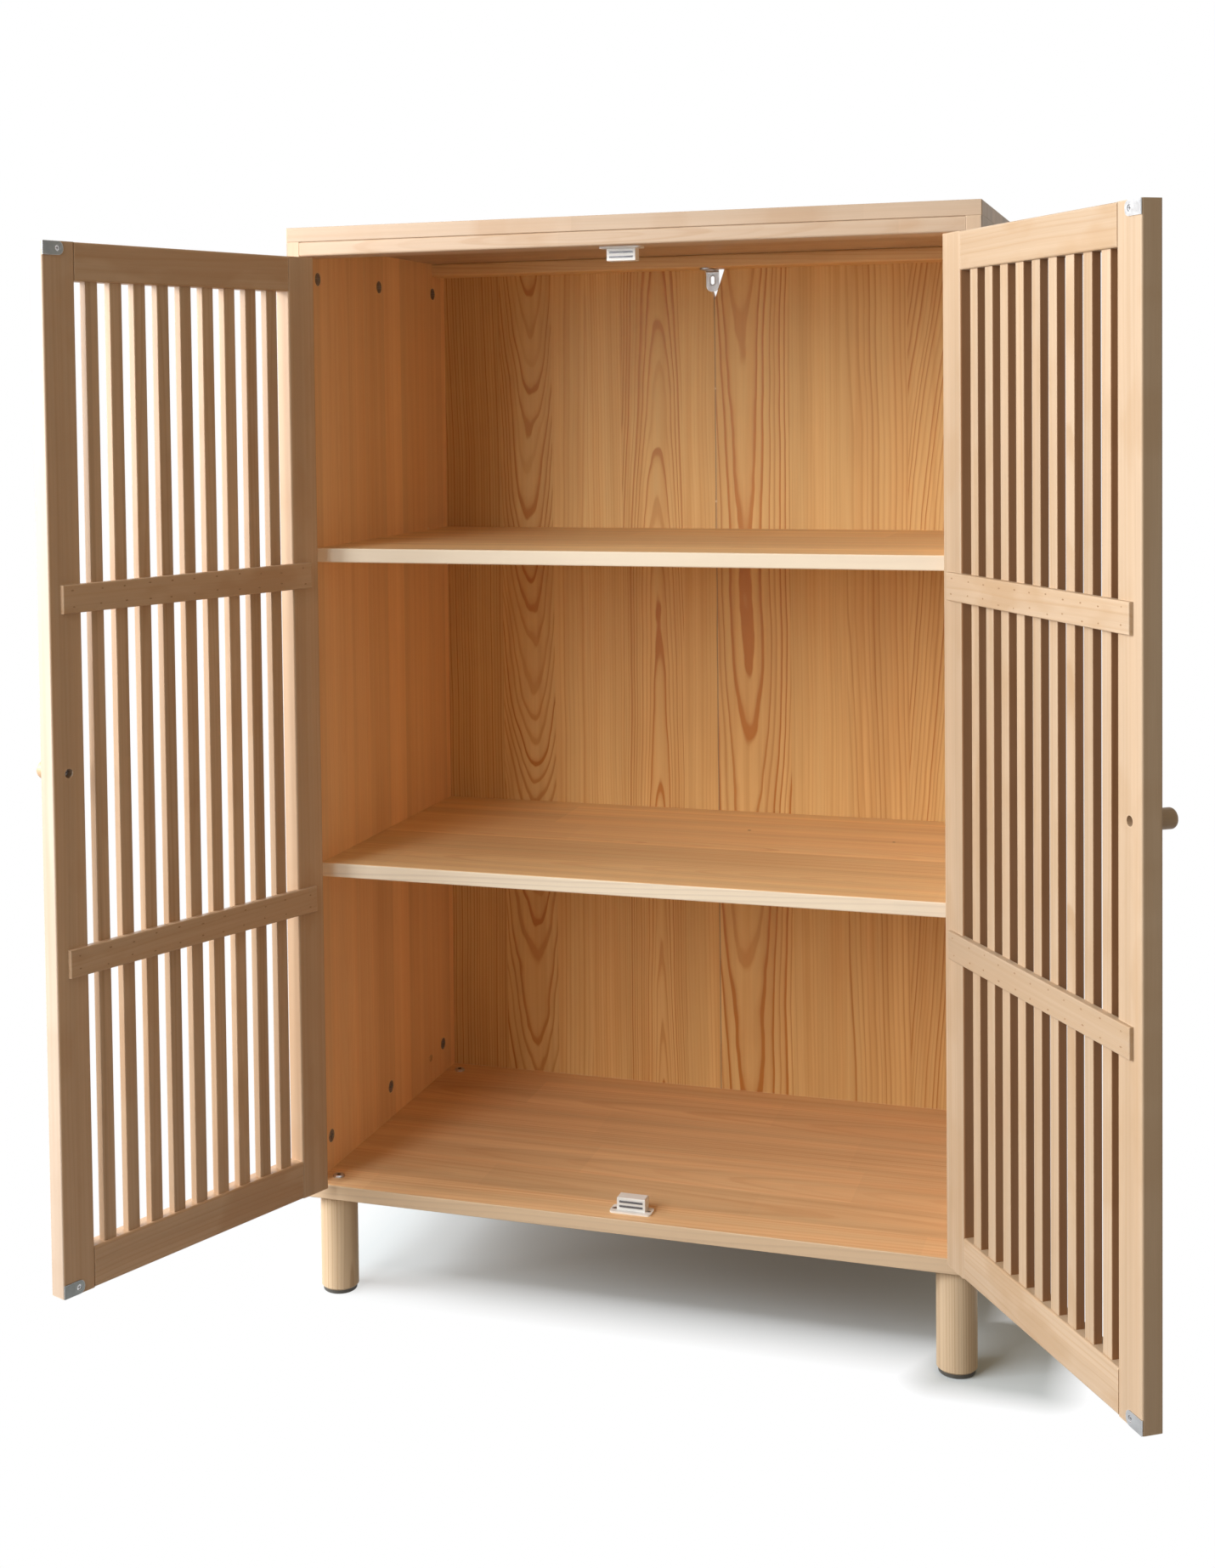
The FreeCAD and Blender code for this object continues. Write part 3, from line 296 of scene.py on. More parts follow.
def stave_figures(tree, width, staves, span):
    """The figures of the stave that a point is in, looked up across the board."""
    share_across = spread(tree, width, 0.0, 1.0, *span)
    centre = sum(span) / 2
    first, second = [], []
    for start, pith, pith_depth, slope, spacing, stave_tone, contrast in staves[:MOST_STAVES]:
        at = share(start, span)
        pith_share = share(pith - centre, (-PITH_REACH, PITH_REACH))
        first.append((at, (pith_share, share(pith_depth, DEPTH_RANGE), share(slope, SLOPE_RANGE))))
        second.append((at, (share(spacing, SPACING_RANGE), share(stave_tone, TONE_RANGE), contrast)))
    pith, pith_depth, slope = split(tree, ramp(tree, share_across, first, "CONSTANT"))
    spacing, stave_tone, contrast = split(tree, ramp(tree, share_across, second, "CONSTANT"))
    return (spread(tree, pith, centre - PITH_REACH, centre + PITH_REACH),
            spread(tree, pith_depth, *DEPTH_RANGE), spread(tree, slope, *SLOPE_RANGE),
            spread(tree, spacing, *SPACING_RANGE), spread(tree, stave_tone, *TONE_RANGE), contrast)


def grain_noise(grain, scales, detail=2.0, shift=0.0):
    """Noise drawn out along the grain: its value and its colour. With two scales it differs from stave to
    stave, and with a third it runs through the whole board. grain has a point's length along the grain, its
    width across it, its depth from the face, a key that is its stave's own, and the board's seed."""
    tree = grain.tree
    third = maths(tree, "MULTIPLY", grain.depth, scales[2]) if len(scales) > 2 else grain.key
    place = vector(tree, maths(tree, "MULTIPLY", grain.width, scales[0]),
                   maths(tree, "MULTIPLY_ADD", grain.length, scales[1], grain.seed + shift), third)
    return noise(tree, place, 1.0, detail)


def latewood(grain, figures, waviness):
    """How much of the wood is latewood: rings round a stave's pith, bent by slow and quick waves."""
    tree = grain.tree
    pith, pith_depth, slope, spacing, contrast = figures
    slow_x, slow_y, _ = split(tree, grain_noise(grain, SLOW_BENDS, 1.5)[1])
    quick_x, quick_y, _ = split(tree, grain_noise(grain, QUICK_BENDS, 2.5)[1])
    slow_sideways, slow_down = (reach * waviness for reach in SLOW_REACH)
    quick_down, quick_out = (reach * waviness for reach in QUICK_REACH)
    sideways = centred(tree, slow_x, slow_sideways, maths(tree, "SUBTRACT", grain.width, pith))
    down = centred(tree, slow_y, slow_down, maths(tree, "MULTIPLY_ADD", slope, grain.length, pith_depth))
    down = maths(tree, "ADD", centred(tree, quick_y, quick_down, down), grain.depth)
    squares = maths(tree, "MULTIPLY_ADD", sideways, sideways, maths(tree, "MULTIPLY", down, down))
    radius = centred(tree, quick_x, quick_out, maths(tree, "SQRT", squares))
    rings = maths(tree, "DIVIDE", radius, spacing)
    place = vector(tree, maths(tree, "MULTIPLY", rings, UNEVEN_SCALE), grain.key, grain.seed)
    rings = centred(tree, noise(tree, place, 1.0, 1.0)[0], UNEVEN_RINGS, rings)
    ring_number = maths(tree, "FLOOR", rings)
    late = ramp(tree, maths(tree, "SUBTRACT", rings, ring_number), [(at, (v, v, v)) for at, v in RING])
    strength = white_noise(tree, vector(tree, ring_number, grain.key, grain.seed))
    late = maths(tree, "MULTIPLY", split(tree, late)[0], spread(tree, strength, *RING_STRENGTH))
    return maths(tree, "MULTIPLY", late, contrast, clamp=True)


def facing_across(tree, door):
    """How squarely a face looks along a door's width, from 0 to 1."""
    normal = node(tree, "ShaderNodeTexCoord").outputs["Normal"]
    turned = node(tree, "ShaderNodeVectorRotate", {"Vector": normal, "Angle": -HINGES[door][1]},
                  rotation_type="Z_AXIS").outputs[0]
    return maths(tree, "ABSOLUTE", split(tree, turned)[0])


def pine(name, axes, face, staves, span, door=None, seed=0.0, tones=PALE, gloss=0.42, waviness=0.4,
         banding=0.06, joints=0.0, patches=0.0, front=None, outside=None, seam=None, side_light_and_shade=None, marks=()):
    """Pine cut from growth rings. axes names the axes along the grain, across the board and through it.
    face is where its main face lies on the last of these, and span is the stretch that the staves cover.
    door names the door whose shut frame the axes are in. banding is how much tone drifts across the grain,
    joints the length between finger joints, patches the strength of its tan clouds, front the plane and the
    tone of its paler front edge, painted light for a lit front against the board's shaded inside, outside
    where its outer face lies along x, whose tone is painted darker and cooler as shade, seam where a dark
    hairline of painted shade runs along the grain, sides what multiplies the tone of faces that look along
    the door's width, as painted light and shade, and marks are small spots: a centre, a radius and a colour."""
    material, tree = new_material(name)
    place = node(tree, "ShaderNodeTexCoord").outputs["Object"]
    if door:
        centre, angle = HINGES[door]
        turned = {"Vector": place, "Center": centre, "Angle": -angle}
        place = node(tree, "ShaderNodeVectorRotate", turned, rotation_type="Z_AXIS").outputs[0]
    by_axis = dict(zip("xyz", split(tree, place)))
    length, width = by_axis[axes[0]], by_axis[axes[1]]
    depth = maths(tree, "SUBTRACT", by_axis[axes[2]], face)
    pith, pith_depth, slope, spacing, stave_tone, contrast = stave_figures(tree, width, staves, span)
    grain = SimpleNamespace(tree=tree, length=length, width=width, depth=depth,
                            key=maths(tree, "MULTIPLY", pith, KEY_SCALE), seed=seed)
    late = latewood(grain, (pith, pith_depth, slope, spacing, contrast), waviness)

    # Fine fibres, the grain's own streaks, slow bands of tone, soft blotches and clouds.
    fibre = grain_noise(grain, FINE_FIBRES)[0]
    streak = grain_noise(grain, STREAKS)[0]
    band = grain_noise(grain, BANDS, 1.5, 5.0)[0]
    blotch = grain_noise(grain, BLOTCHES)[0]
    colour = mix(tree, late, *tones)
    colour = shaded(tree, colour, spread(tree, fibre, 0.96, 1.03, 0.25, 0.75))
    colour = mix(tree, spread(tree, streak, 0.0, 0.30, 0.42, 0.72), colour, tones[1])
    colour = shaded(tree, colour, spread(tree, band, 1.0 - banding, 1.0 + banding * 0.7, 0.3, 0.7))
    colour = mix(tree, spread(tree, blotch, 0.0, 0.20, 0.45, 0.80), colour, tones[1])
    colour = shaded(tree, colour, stave_tone)
    if patches:
        cloud = grain_noise(grain, CLOUDS, 3.0, 3.0)[0]
        colour = mix(tree, spread(tree, cloud, 0.0, patches, 0.53, 0.62), colour, tones[1])
    if joints:
        # Each stave's joints are staggered against its neighbours', and each piece has its own tone.
        stagger = maths(tree, "MULTIPLY", grain.key, 3.7)
        piece = maths(tree, "FLOOR", maths(tree, "MULTIPLY_ADD", length, 1.0 / joints, stagger))
        tone = white_noise(tree, vector(tree, piece, grain.key, seed))
        colour = shaded(tree, colour, spread(tree, tone, 0.95, 1.04))
    # The paler front edge is painted light: the tone of a lit front against the deeper tone of the board's
    # shaded inside.
    if front:
        plane, lit_edge_tone = front
        edge = spread(tree, by_axis["y"], 0.85, 0.0, *(plane + off for off in FRONT_DEPTHS))
        colour = mix(tree, edge, colour, shaded(tree, lit_edge_tone, spread(tree, late, 1.0, 0.80)))
    # Painted shade: the outer face is toned darker and cooler.
    if outside is not None:
        away = maths(tree, "ABSOLUTE", maths(tree, "SUBTRACT", by_axis["x"], outside))
        colour = mix(tree, spread(tree, away, 1.0, 0.0, *OUTSIDE_DEPTHS), colour, OUTSIDE_SHADE, "MULTIPLY")
    # A dark hairline painted along the seam: the shade in the gap where two panels meet.
    if seam is not None:
        bends = noise(tree, vector(tree, 0.0, maths(tree, "MULTIPLY", length, 11.0), 0.0), 1.0, 3.0)[0]
        off = maths(tree, "SUBTRACT", centred(tree, bends, SEAM_SWAY, width), seam)
        line = spread(tree, maths(tree, "ABSOLUTE", off), 0.9, 0.0, *SEAM_DEPTHS)
        colour = mix(tree, line, colour, DARK_SPOT_AND_SEAM_SHADE)
    # Painted light and shade on faces that look along the door's width: paler where lit, darker where shaded.
    if side_light_and_shade:
        painted_side_mask = spread(tree, facing_across(tree, door), 0.0, 1.0, 0.5, 0.8)
        colour = mix(tree, painted_side_mask, colour, side_light_and_shade, "MULTIPLY")
    for centre, size, tone in marks:
        reach = node(tree, "ShaderNodeVectorMath", {0: place, 1: centre}, operation="DISTANCE")
        colour = mix(tree, spread(tree, reach.outputs["Value"], 0.85, 0.0, size * 0.5, size), colour, tone)

    # Edges that handling has rounded and paled a little.
    worn = maths(tree, "MULTIPLY", corner_wear(tree, 0.0025, 0.0, 1.0),
                 spread(tree, streak, 0.1, 0.55, 0.35, 0.7))
    colour = mix(tree, worn, colour, RUBBED)
    height = maths(tree, "MULTIPLY_ADD", late, 0.6, maths(tree, "MULTIPLY", fibre, 0.5))
    bump = node(tree, "ShaderNodeBump", {"Strength": 0.25, "Distance": 0.0006, "Height": height}).outputs[0]
    rough = centred(tree, fibre, 0.10, spread(tree, late, gloss + 0.10, gloss - 0.02))
    finish(tree, node(tree, "ShaderNodeBsdfPrincipled", {
        "Base Color": colour, "Roughness": rough, "Normal": bump, "Specular IOR Level": 0.35}))
    return material


def metal(name, colour, roughness, grain=220.0):
    """Plated or cast metal: a fine grain in its tone and gloss, and edges rubbed brighter."""
    material, tree = new_material(name)
    place = node(tree, "ShaderNodeTexCoord").outputs["Object"]
    fine = noise(tree, place, grain, 3.0)[0]
    patch = noise(tree, place, 40.0)[0]
    tint = shaded(tree, colour, spread(tree, patch, 0.85, 1.1, 0.3, 0.7))
    tint = mix(tree, corner_wear(tree, 0.0006, 0.0, 0.7), tint, BRIGHT_METAL)
    rough = spread(tree, fine, roughness - 0.08, roughness + 0.10, 0.3, 0.7)
    bump = node(tree, "ShaderNodeBump", {"Strength": 0.2, "Distance": 0.0001, "Height": fine}).outputs[0]
    finish(tree, node(tree, "ShaderNodeBsdfPrincipled", {
        "Base Color": tint, "Roughness": rough, "Normal": bump, "Metallic": 1.0}))
    return material


def plastic(name, colour, roughness):
    """Moulded plastic: a fine eggshell skin, slightly uneven in tone, scuffed on its edges."""
    material, tree = new_material(name)
    place = node(tree, "ShaderNodeTexCoord").outputs["Object"]
    skin = noise(tree, place, 1600.0)[0]
    patch = noise(tree, place, 60.0)[0]
    tint = shaded(tree, colour, spread(tree, patch, 0.94, 1.03, 0.3, 0.7))
    scuffed = tuple(min(channel * 1.3 + 0.03, 0.92) for channel in colour)
    tint = mix(tree, corner_wear(tree, 0.0008, 0.0, 0.5), tint, scuffed)
    rough = spread(tree, skin, roughness - 0.06, roughness + 0.08, 0.3, 0.7)
    bump = node(tree, "ShaderNodeBump", {"Strength": 0.15, "Distance": 0.0001, "Height": skin}).outputs[0]
    finish(tree, node(tree, "ShaderNodeBsdfPrincipled", {
        "Base Color": tint, "Roughness": rough, "Normal": bump}))
    return material


def dress(material, *names):
    """Gives a material to the named CAD parts."""
    for name in names:
        slots = NODES[name].data.materials
        slots.clear()
        slots.append(material)


# Back panels: grain upright, staves side by side. A stave's figures are where it starts, its pith's place and
# depth, the grain's slope, the rings' spacing, its tone and its contrast.
BACK_LEFT = [
    (-0.400, -0.520, 0.010, 0.030, 0.0040, 0.95, 0.85),
    (-0.322, -0.281, 0.1015, -0.050, 0.0024, 1.02, 1.00),
    (-0.252, -0.120, 0.020, 0.030, 0.0060, 1.08, 0.45),
    (-0.205, -0.330, 0.012, 0.020, 0.0037, 1.10, 0.45),
    (-0.158, -0.112, 0.002, 0.030, 0.0030, 1.06, 1.00),
    (-0.078, -0.230, 0.020, 0.010, 0.0044, 1.06, 0.30),
]
BACK_RIGHT = [
    (-0.036, 0.002, 0.065, -0.025, 0.0046, 1.03, 1.00),
    (0.060, -0.090, 0.030, 0.010, 0.0044, 1.00, 0.25),
    (0.130, 0.100, 0.030, 0.020, 0.0058, 0.98, 0.95),
    (0.206, 0.420, 0.050, 0.130, 0.0042, 0.97, 0.85),
    (0.270, 0.350, 0.040, 0.050, 0.0050, 0.97, 0.70),
]
BACK_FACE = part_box("left_back_panel")[0].y
# The dark hairline where the panels meet, painted shade of the gap between them, and two small pale knots on
# it.
BACK_SEAM_SHADE = -0.0343
KNOTS = [((-0.0341, BACK_FACE, 1.019), 0.0016, PALE_KNOT), ((-0.0343, BACK_FACE, 0.877), 0.0018, PALE_KNOT)]
# Each panel's staves, the stretch they cover and its seed.
BACK_PANELS = {"left_back_panel": (BACK_LEFT, (-0.42, -0.02), 3.0),
               "right_back_panel": (BACK_RIGHT, (-0.04, 0.36), 7.0)}
for name, (staves, span, seed) in BACK_PANELS.items():
    dress(pine("pine_" + name, "zxy", BACK_FACE, staves, span, seed=seed, tones=HONEY, waviness=0.6,
               seam=BACK_SEAM_SHADE, marks=KNOTS), name)

# Side panels: grain upright, with a small pale dot on the left one's inner face.
SIDE_SPAN = (-0.06, 0.41)
for number, name in enumerate(("left_side_panel", "right_side_panel")):
    low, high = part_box(name)
    staves = random_staves(11 + number, *SIDE_SPAN, width=0.062, contrast=(0.15, 0.40))
    marks = [((high.x, 0.321, 0.844), 0.0022, PALE_DOT)] if number == 0 else ()
    # Their front edges are painted paler as lit, and their outer faces painted darker and cooler as shade.
    dress(pine("pine_" + name, "zyx", high.x, staves, SIDE_SPAN, seed=11.0 + number, tones=AMBER,
               front=(low.y, CREAM[0]), outside=(low.x, high.x)[number], marks=marks), name)

# Boards and shelves: grain along x, jointed, with two dark spots on the lower shelf.
BOARD_SPAN = (-0.11, 0.41)
SPOTS = [((0.030, 0.2789, 0.4853), 0.0028, DARK_SPOT_AND_SEAM_SHADE), ((0.2073, 0.2576, 0.4853), 0.0024, DARK_SPOT_AND_SEAM_SHADE)]
# Each board's tones, its front edge's tone where that is paler as painted light, the strength of its clouds,
# and its marks.
BOARDS = {"top_board": (CREAM, None, 0.5, ()),
          "bottom_board": (BOTTOM, BOTTOM_LIT_EDGE, 0.0, ()),
          "upper_shelf": (SHELF, SHELF_LIT_EDGE, 0.0, ()),
          "lower_shelf": (SHELF, SHELF_LIT_EDGE, 0.0, SPOTS)}
for number, (name, (tones, lit_edge_tone, patches, marks)) in enumerate(BOARDS.items()):
    low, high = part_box(name)
    staves = random_staves(21 + number, *BOARD_SPAN, width=0.085, contrast=(0.2, 0.5))
    dress(pine("pine_" + name, "xyz", high.z, staves, BOARD_SPAN, seed=21.0 + number, tones=tones,
               banding=0.10, joints=0.31, patches=patches, front=(low.y, lit_edge_tone) if lit_edge_tone else None,
               marks=marks), name)

# Rails: grain along x, with a flame on the front one.
SPAN_MARGIN = 0.01
low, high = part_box("front_top_rail")
span = (low.z - SPAN_MARGIN, high.z + SPAN_MARGIN)
FLAME = [(span[0], 1.178, 0.004, 0.060, 0.0042, 1.0, 0.45)]
dress(pine("pine_front_top_rail", "xzy", low.y, FLAME, span, seed=31.0, tones=CREAM, joints=0.36,
           patches=0.5), "front_top_rail")
low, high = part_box("rear_top_rail")
span = (low.z, high.z)
staves = random_staves(32, *span, width=0.3, contrast=(0.3, 0.5))
dress(pine("pine_rear_top_rail", "xzy", low.y, staves, span, seed=32.0, tones=SHELF, joints=0.36),
      "rear_top_rail")

# Legs: grain upright, each turned from one stave whose pith lies this far to its side.
LEG_PITHS = {"front_left_leg": 0.10, "front_right_leg": -0.11, "rear_left_leg": 0.12, "rear_right_leg": -0.10}
for number, (name, pith_distance) in enumerate(LEG_PITHS.items()):
    low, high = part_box(name)
    span = (low.x - SPAN_MARGIN, high.x + SPAN_MARGIN)
    stave = [(span[0], (low.x + high.x) / 2 + pith_distance, 0.03, 0.012, 0.0028, 1.0, 0.70)]
    dress(pine("pine_" + name, "zxy", low.y, stave, span, seed=41.0 + number, tones=LEG), name)

# Doors: stiles and slats upright, rails and battens along the door's width. Each stile has where it starts
# and ends and where its pith lies, from the hinge, and each piece across has its stretch of height and its
# contrast.
STILES = {"hinge_stile": (0.0, 0.042, 0.15), "free_stile": (0.32, 0.365, 0.22)}
SLAT_REACH = (0.035, 0.33)
SLAT_PITCH = 0.0300
CROSS_PIECES = {"top_rail": (1.11, 1.18, 0.20), "bottom_rail": (0.12, 0.19, 0.50),
                "upper_batten": (0.79, 0.84, 0.20), "lower_batten": (0.43, 0.49, 0.20)}
# Each door's pieces take the seeds from here on.
DOOR_SEEDS = {"left_door": 50.0, "right_door": 60.0}
# The height of the knobs' middle (m), from which the depth of their grain is measured.
KNOB_LEVEL = 0.65
for door, side in DOOR_SIDES.items():
    hinge_x = HINGES[door][0].x
    tones = DOOR_TONES[door]
    base = DOOR_SEEDS[door]
    for number, (name, (start, end, pith)) in enumerate(STILES.items()):
        edges = tuple(sorted((hinge_x + side * start, hinge_x + side * end)))
        piece = f"{door}_{name}"
        stave = [(edges[0], hinge_x + side * pith, 0.02, 0.008, 0.0052, 1.0, 0.22)]
        dress(pine(f"pine_{piece}", "zxy", DOOR_FACE, stave, edges, door, base + number, banding=0.10,
                   patches=0.25, tones=tones, side_light_and_shade=SIDE_LIGHT_AND_SHADE.get(piece)), piece)
    for number, (name, (low, high, contrast)) in enumerate(CROSS_PIECES.items(), start=2):
        piece = f"{door}_{name}"
        staves = random_staves(base + number, low, high, width=0.3,
                               contrast=(contrast - 0.1, contrast + 0.1))
        dress(pine(f"pine_{piece}", "xzy", DOOR_FACE, staves, (low, high), door, base + number,
                   waviness=0.8, patches=0.45, tones=tones), piece)
    edges = tuple(sorted(hinge_x + side * distance for distance in SLAT_REACH))
    piece = f"{door}_slats"
    staves = random_staves(base + 8, *edges, width=SLAT_PITCH, contrast=(0.15, 0.5))
    dress(pine(f"pine_{piece}", "zxy", DOOR_FACE, staves, edges, door, base + 8, patches=0.25, tones=tones,
               side_light_and_shade=SIDE_LIGHT_AND_SHADE.get(piece)), piece)
    staves = random_staves(base + 9, *edges, width=0.4)
    dress(pine(f"pine_{door}_knob", "yxz", KNOB_LEVEL, staves, edges, door, base + 9, tones=tones,
               gloss=0.36), f"{door}_knob")

# Dowels, then metals with their colour, roughness and scale of grain, then plastics.
staves = random_staves(70, *BOARD_SPAN, width=0.5, contrast=(0.1, 0.2))
dress(pine("hardwood", "xyz", 0.0, staves, BOARD_SPAN, tones=DOWEL), "shelf_dowels", "rail_dowels")
ZINC = metal("zinc_steel", (0.62, 0.63, 0.65), 0.34)
CAST = metal("cast_zinc", (0.30, 0.29, 0.28), 0.50, 500.0)
PLATE = metal("satin_steel", (0.52, 0.52, 0.52), 0.42)
# Near-black steel inlaid in screw heads, painted shade for the inside of their driving recess.
RECESS_SHADE = metal("recess_shade_steel", (0.07, 0.065, 0.06), 0.55, 900.0)
# The same strike plates, painted darker on the shaded left door and lighter on the lit right door.
STRIKE_LIGHT_AND_SHADE = {"left_door": (0.20, 0.21, 0.20), "right_door": (0.46, 0.47, 0.48)}
dress(ZINC, "leg_bolts", "cam_bolts", "back_panel_screws", "catch_screws", "bracket_screw",
      "hinge_frame_screws", "left_hinge_frame_leaves", "right_hinge_frame_leaves",
      "left_hinge_pins", "right_hinge_pins")
dress(PLATE, "wall_bracket")
# The pole plates' steel is painted near black, painted shade so they read dark where plated steel would
# reflect light.
dress(metal("pole_steel", (0.13, 0.13, 0.14), 0.5), "catch_pole_plates")
dress(CAST, "cam_locks")
dress(plastic("white_plastic", WHITE_PLASTIC, 0.38), "upper_catch_housing", "lower_catch_housing")
dress(plastic("ferrite", (0.06, 0.06, 0.065), 0.55), "catch_magnets")
dress(plastic("dark_glides", (0.085, 0.08, 0.07), 0.5), "leg_glides")
for door in HINGES:
    dress(ZINC, f"{door}_knob_screw", f"{door}_strike_screws", f"{door}_hinge_leaves",
          f"{door}_hinge_screws")
    dress(metal(f"strike_steel_{door}", STRIKE_LIGHT_AND_SHADE[door], 0.42), f"{door}_strike_plates")


def shutting(door):
    """The turn that takes a place on an open door to where it is with the door shut."""
    centre, angle = HINGES[door]
    return Matrix.Translation(centre) @ Matrix.Rotation(-angle, 4, "Z") @ Matrix.Translation(-centre)


def solid_boxes(name, door=None):
    """The box of each separate solid of a CAD part, with its door shut."""
    body = bmesh.new()
    body.from_mesh(NODES[name].data)
    bmesh.ops.remove_doubles(body, verts=body.verts, dist=1e-5)
    if door:
        bmesh.ops.transform(body, matrix=shutting(door), verts=body.verts)
    boxes = []
    seen = set()
    for start in body.verts:
        if start in seen:
            continue
        seen.add(start)
        found = [start]
        for vertex in found:
            for edge in vertex.link_edges:
                other = edge.other_vert(vertex)
                if other not in seen:
                    seen.add(other)
                    found.append(other)
        low = Vector([min(vertex.co[axis] for vertex in found) for axis in range(3)])
        high = Vector([max(vertex.co[axis] for vertex in found) for axis in range(3)])
        boxes.append((low, high))
    body.free()
    return boxes


def skin(body, rings, round_section):
    """Adds the faces between rings of points, each joined to the next and the last to the first."""
    made = [[body.verts.new(point) for point in ring] for ring in rings]
    for first, second in zip(made, made[1:] + made[:1]):
        for k in range(len(first) if round_section else len(first) - 1):
            following = (k + 1) % len(first)
            body.faces.new((first[k], first[following], second[following], second[k]))
    return made


def prism(body, outline, place, low, high):
    """Adds a closed prism: an outline in a frame's own XY, carried from low to high along its Z."""
    rings = []
    for level in (low, high):
        rings.append([body.verts.new(place @ Vector((x, y, level))) for x, y in outline])
    for k in range(len(outline)):
        following = (k + 1) % len(outline)
        body.faces.new((rings[0][k], rings[0][following], rings[1][following], rings[1][k]))
    body.faces.new(rings[1])
    body.faces.new(rings[0][::-1])


def add_piece(name, body, carrier, material, door=None, smooth=False):
    """Makes a mesh object of what was built, opens it with its door, and lets it ride."""
    if door:
        bmesh.ops.transform(body, matrix=shutting(door).inverted(), verts=body.verts)
    bmesh.ops.recalc_face_normals(body, faces=body.faces)
    mesh = bpy.data.meshes.new(name)
    body.to_mesh(mesh)
    body.free()
    for face in mesh.polygons:
        face.use_smooth = smooth
    piece = bpy.data.objects.new(name, mesh)
    bpy.context.scene.collection.objects.link(piece)
    mesh.materials.append(material)
    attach(piece, carrier)


def facing_frame(centre, facing):
    """A frame at a point whose Z runs along facing."""
    return Matrix.Translation(centre) @ facing.to_track_quat("Z", "Y").to_matrix().to_4x4()


def circle(radius, count):
    """Points round a circle."""
    turns = [2 * math.pi * k / count for k in range(count)]
    return [(radius * math.cos(turn), radius * math.sin(turn)) for turn in turns]


# The cross recess's reach and half its arms' width, as shares of the head's radius.
CROSS_ARM = 0.62
CROSS_HALF = 0.17


def cross_outline(radius):
    """The twelve corners of a screw's cross recess."""
    arm, half = radius * CROSS_ARM, radius * CROSS_HALF
    return [(arm, -half), (arm, half), (half, half), (half, arm), (-half, arm), (-half, half),
            (-arm, half), (-arm, -half), (-half, -half), (-half, -arm), (half, -arm), (half, -half)]


# How deep the marks are sunk and how far they stand proud (m), and the hexagon's size in a bolt's head.
SUNK = 0.0003
PROUD = 0.00005
HEXAGON_SHARE = 0.42


def drive_marks(node_name, carrier, facing_of, kind="cross", door=None):
    """The driving recess in the head of each screw of a CAD part, as a thin dark inlay of painted shade."""
    body = bmesh.new()
    for low, high in solid_boxes(node_name, door):
        centre = (low + high) / 2
        facing = facing_of(centre)
        axis = max(range(3), key=lambda k: abs(facing[k]))
        centre[axis] = high[axis] if facing[axis] > 0 else low[axis]
        radius = (high - low)[(axis + 1) % 3] / 2
        outline = cross_outline(radius) if kind == "cross" else circle(radius * HEXAGON_SHARE, 6)
        prism(body, outline, facing_frame(centre, facing), -SUNK, PROUD)
    add_piece(f"{node_name}_recess_shades", body, carrier, RECESS_SHADE, door)


UP, DOWN = Vector((0, 0, 1)), Vector((0, 0, -1))
RIGHT, LEFT = Vector((1, 0, 0)), Vector((-1, 0, 0))
BACK = Vector((0, 1, 0))
# The upper catch's screw heads look down and the lower one's look up.
MID_HEIGHT = 0.6
drive_marks("leg_bolts", "carcass", lambda at: UP, "hexagon")
drive_marks("catch_screws", "carcass", lambda at: UP if at.z < MID_HEIGHT else DOWN)
drive_marks("bracket_screw", "carcass", lambda at: DOWN)
drive_marks("back_panel_screws", "carcass", lambda at: BACK)
drive_marks("hinge_frame_screws", "carcass", lambda at: RIGHT if at.x < 0 else LEFT)
for door, side in DOOR_SIDES.items():
    outward = LEFT if side > 0 else RIGHT
    drive_marks(f"{door}_hinge_screws", door, lambda at: outward, door=door)
    drive_marks(f"{door}_strike_screws", door, lambda at: BACK, door=door)
    drive_marks(f"{door}_knob_screw", door, lambda at: BACK, door=door)

# Two rows of pins through each batten into the stiles and slats: how far from the hinge they are, how far
# from the batten's middle each row is, and how much the filled heads are out of line and out of round.
PIN_PLACES = [0.027] + [0.0619 + 0.0299 * k for k in range(9)] + [0.336]
PIN_ROW = 0.0075
PIN_RADIUS = 0.0008
PIN_DRIFT = 0.002
PIN_STRETCH = (1.3, 2.4)
FILLER_SPAN = (-0.4, 0.4)
staves = random_staves(80, *FILLER_SPAN, width=0.9, contrast=(0.1, 0.2))
FILLER = pine("pin_filler", "xzy", DOOR_FACE, staves, FILLER_SPAN, tones=FILLED)
for door, side in DOOR_SIDES.items():
    draw = random.Random(90 + side)
    for level in ("upper", "lower"):
        (low, high), = solid_boxes(f"{door}_{level}_batten", door)
        middle = (low.z + high.z) / 2
        body = bmesh.new()
        for row in (-PIN_ROW, PIN_ROW):
            for distance in PIN_PLACES:
                x = HINGES[door][0].x + side * (distance + draw.uniform(-PIN_DRIFT, PIN_DRIFT))
                z = middle + row + draw.uniform(-PIN_DRIFT, PIN_DRIFT)
                stretch = draw.uniform(*PIN_STRETCH)
                place = facing_frame(Vector((x, high.y, z)), BACK)
                outline = [(a * stretch, b) for a, b in circle(PIN_RADIUS, 8)]
                prism(body, outline, place, -SUNK, PROUD)
        add_piece(f"{door}_{level}_batten_pins", body, door, FILLER, door)

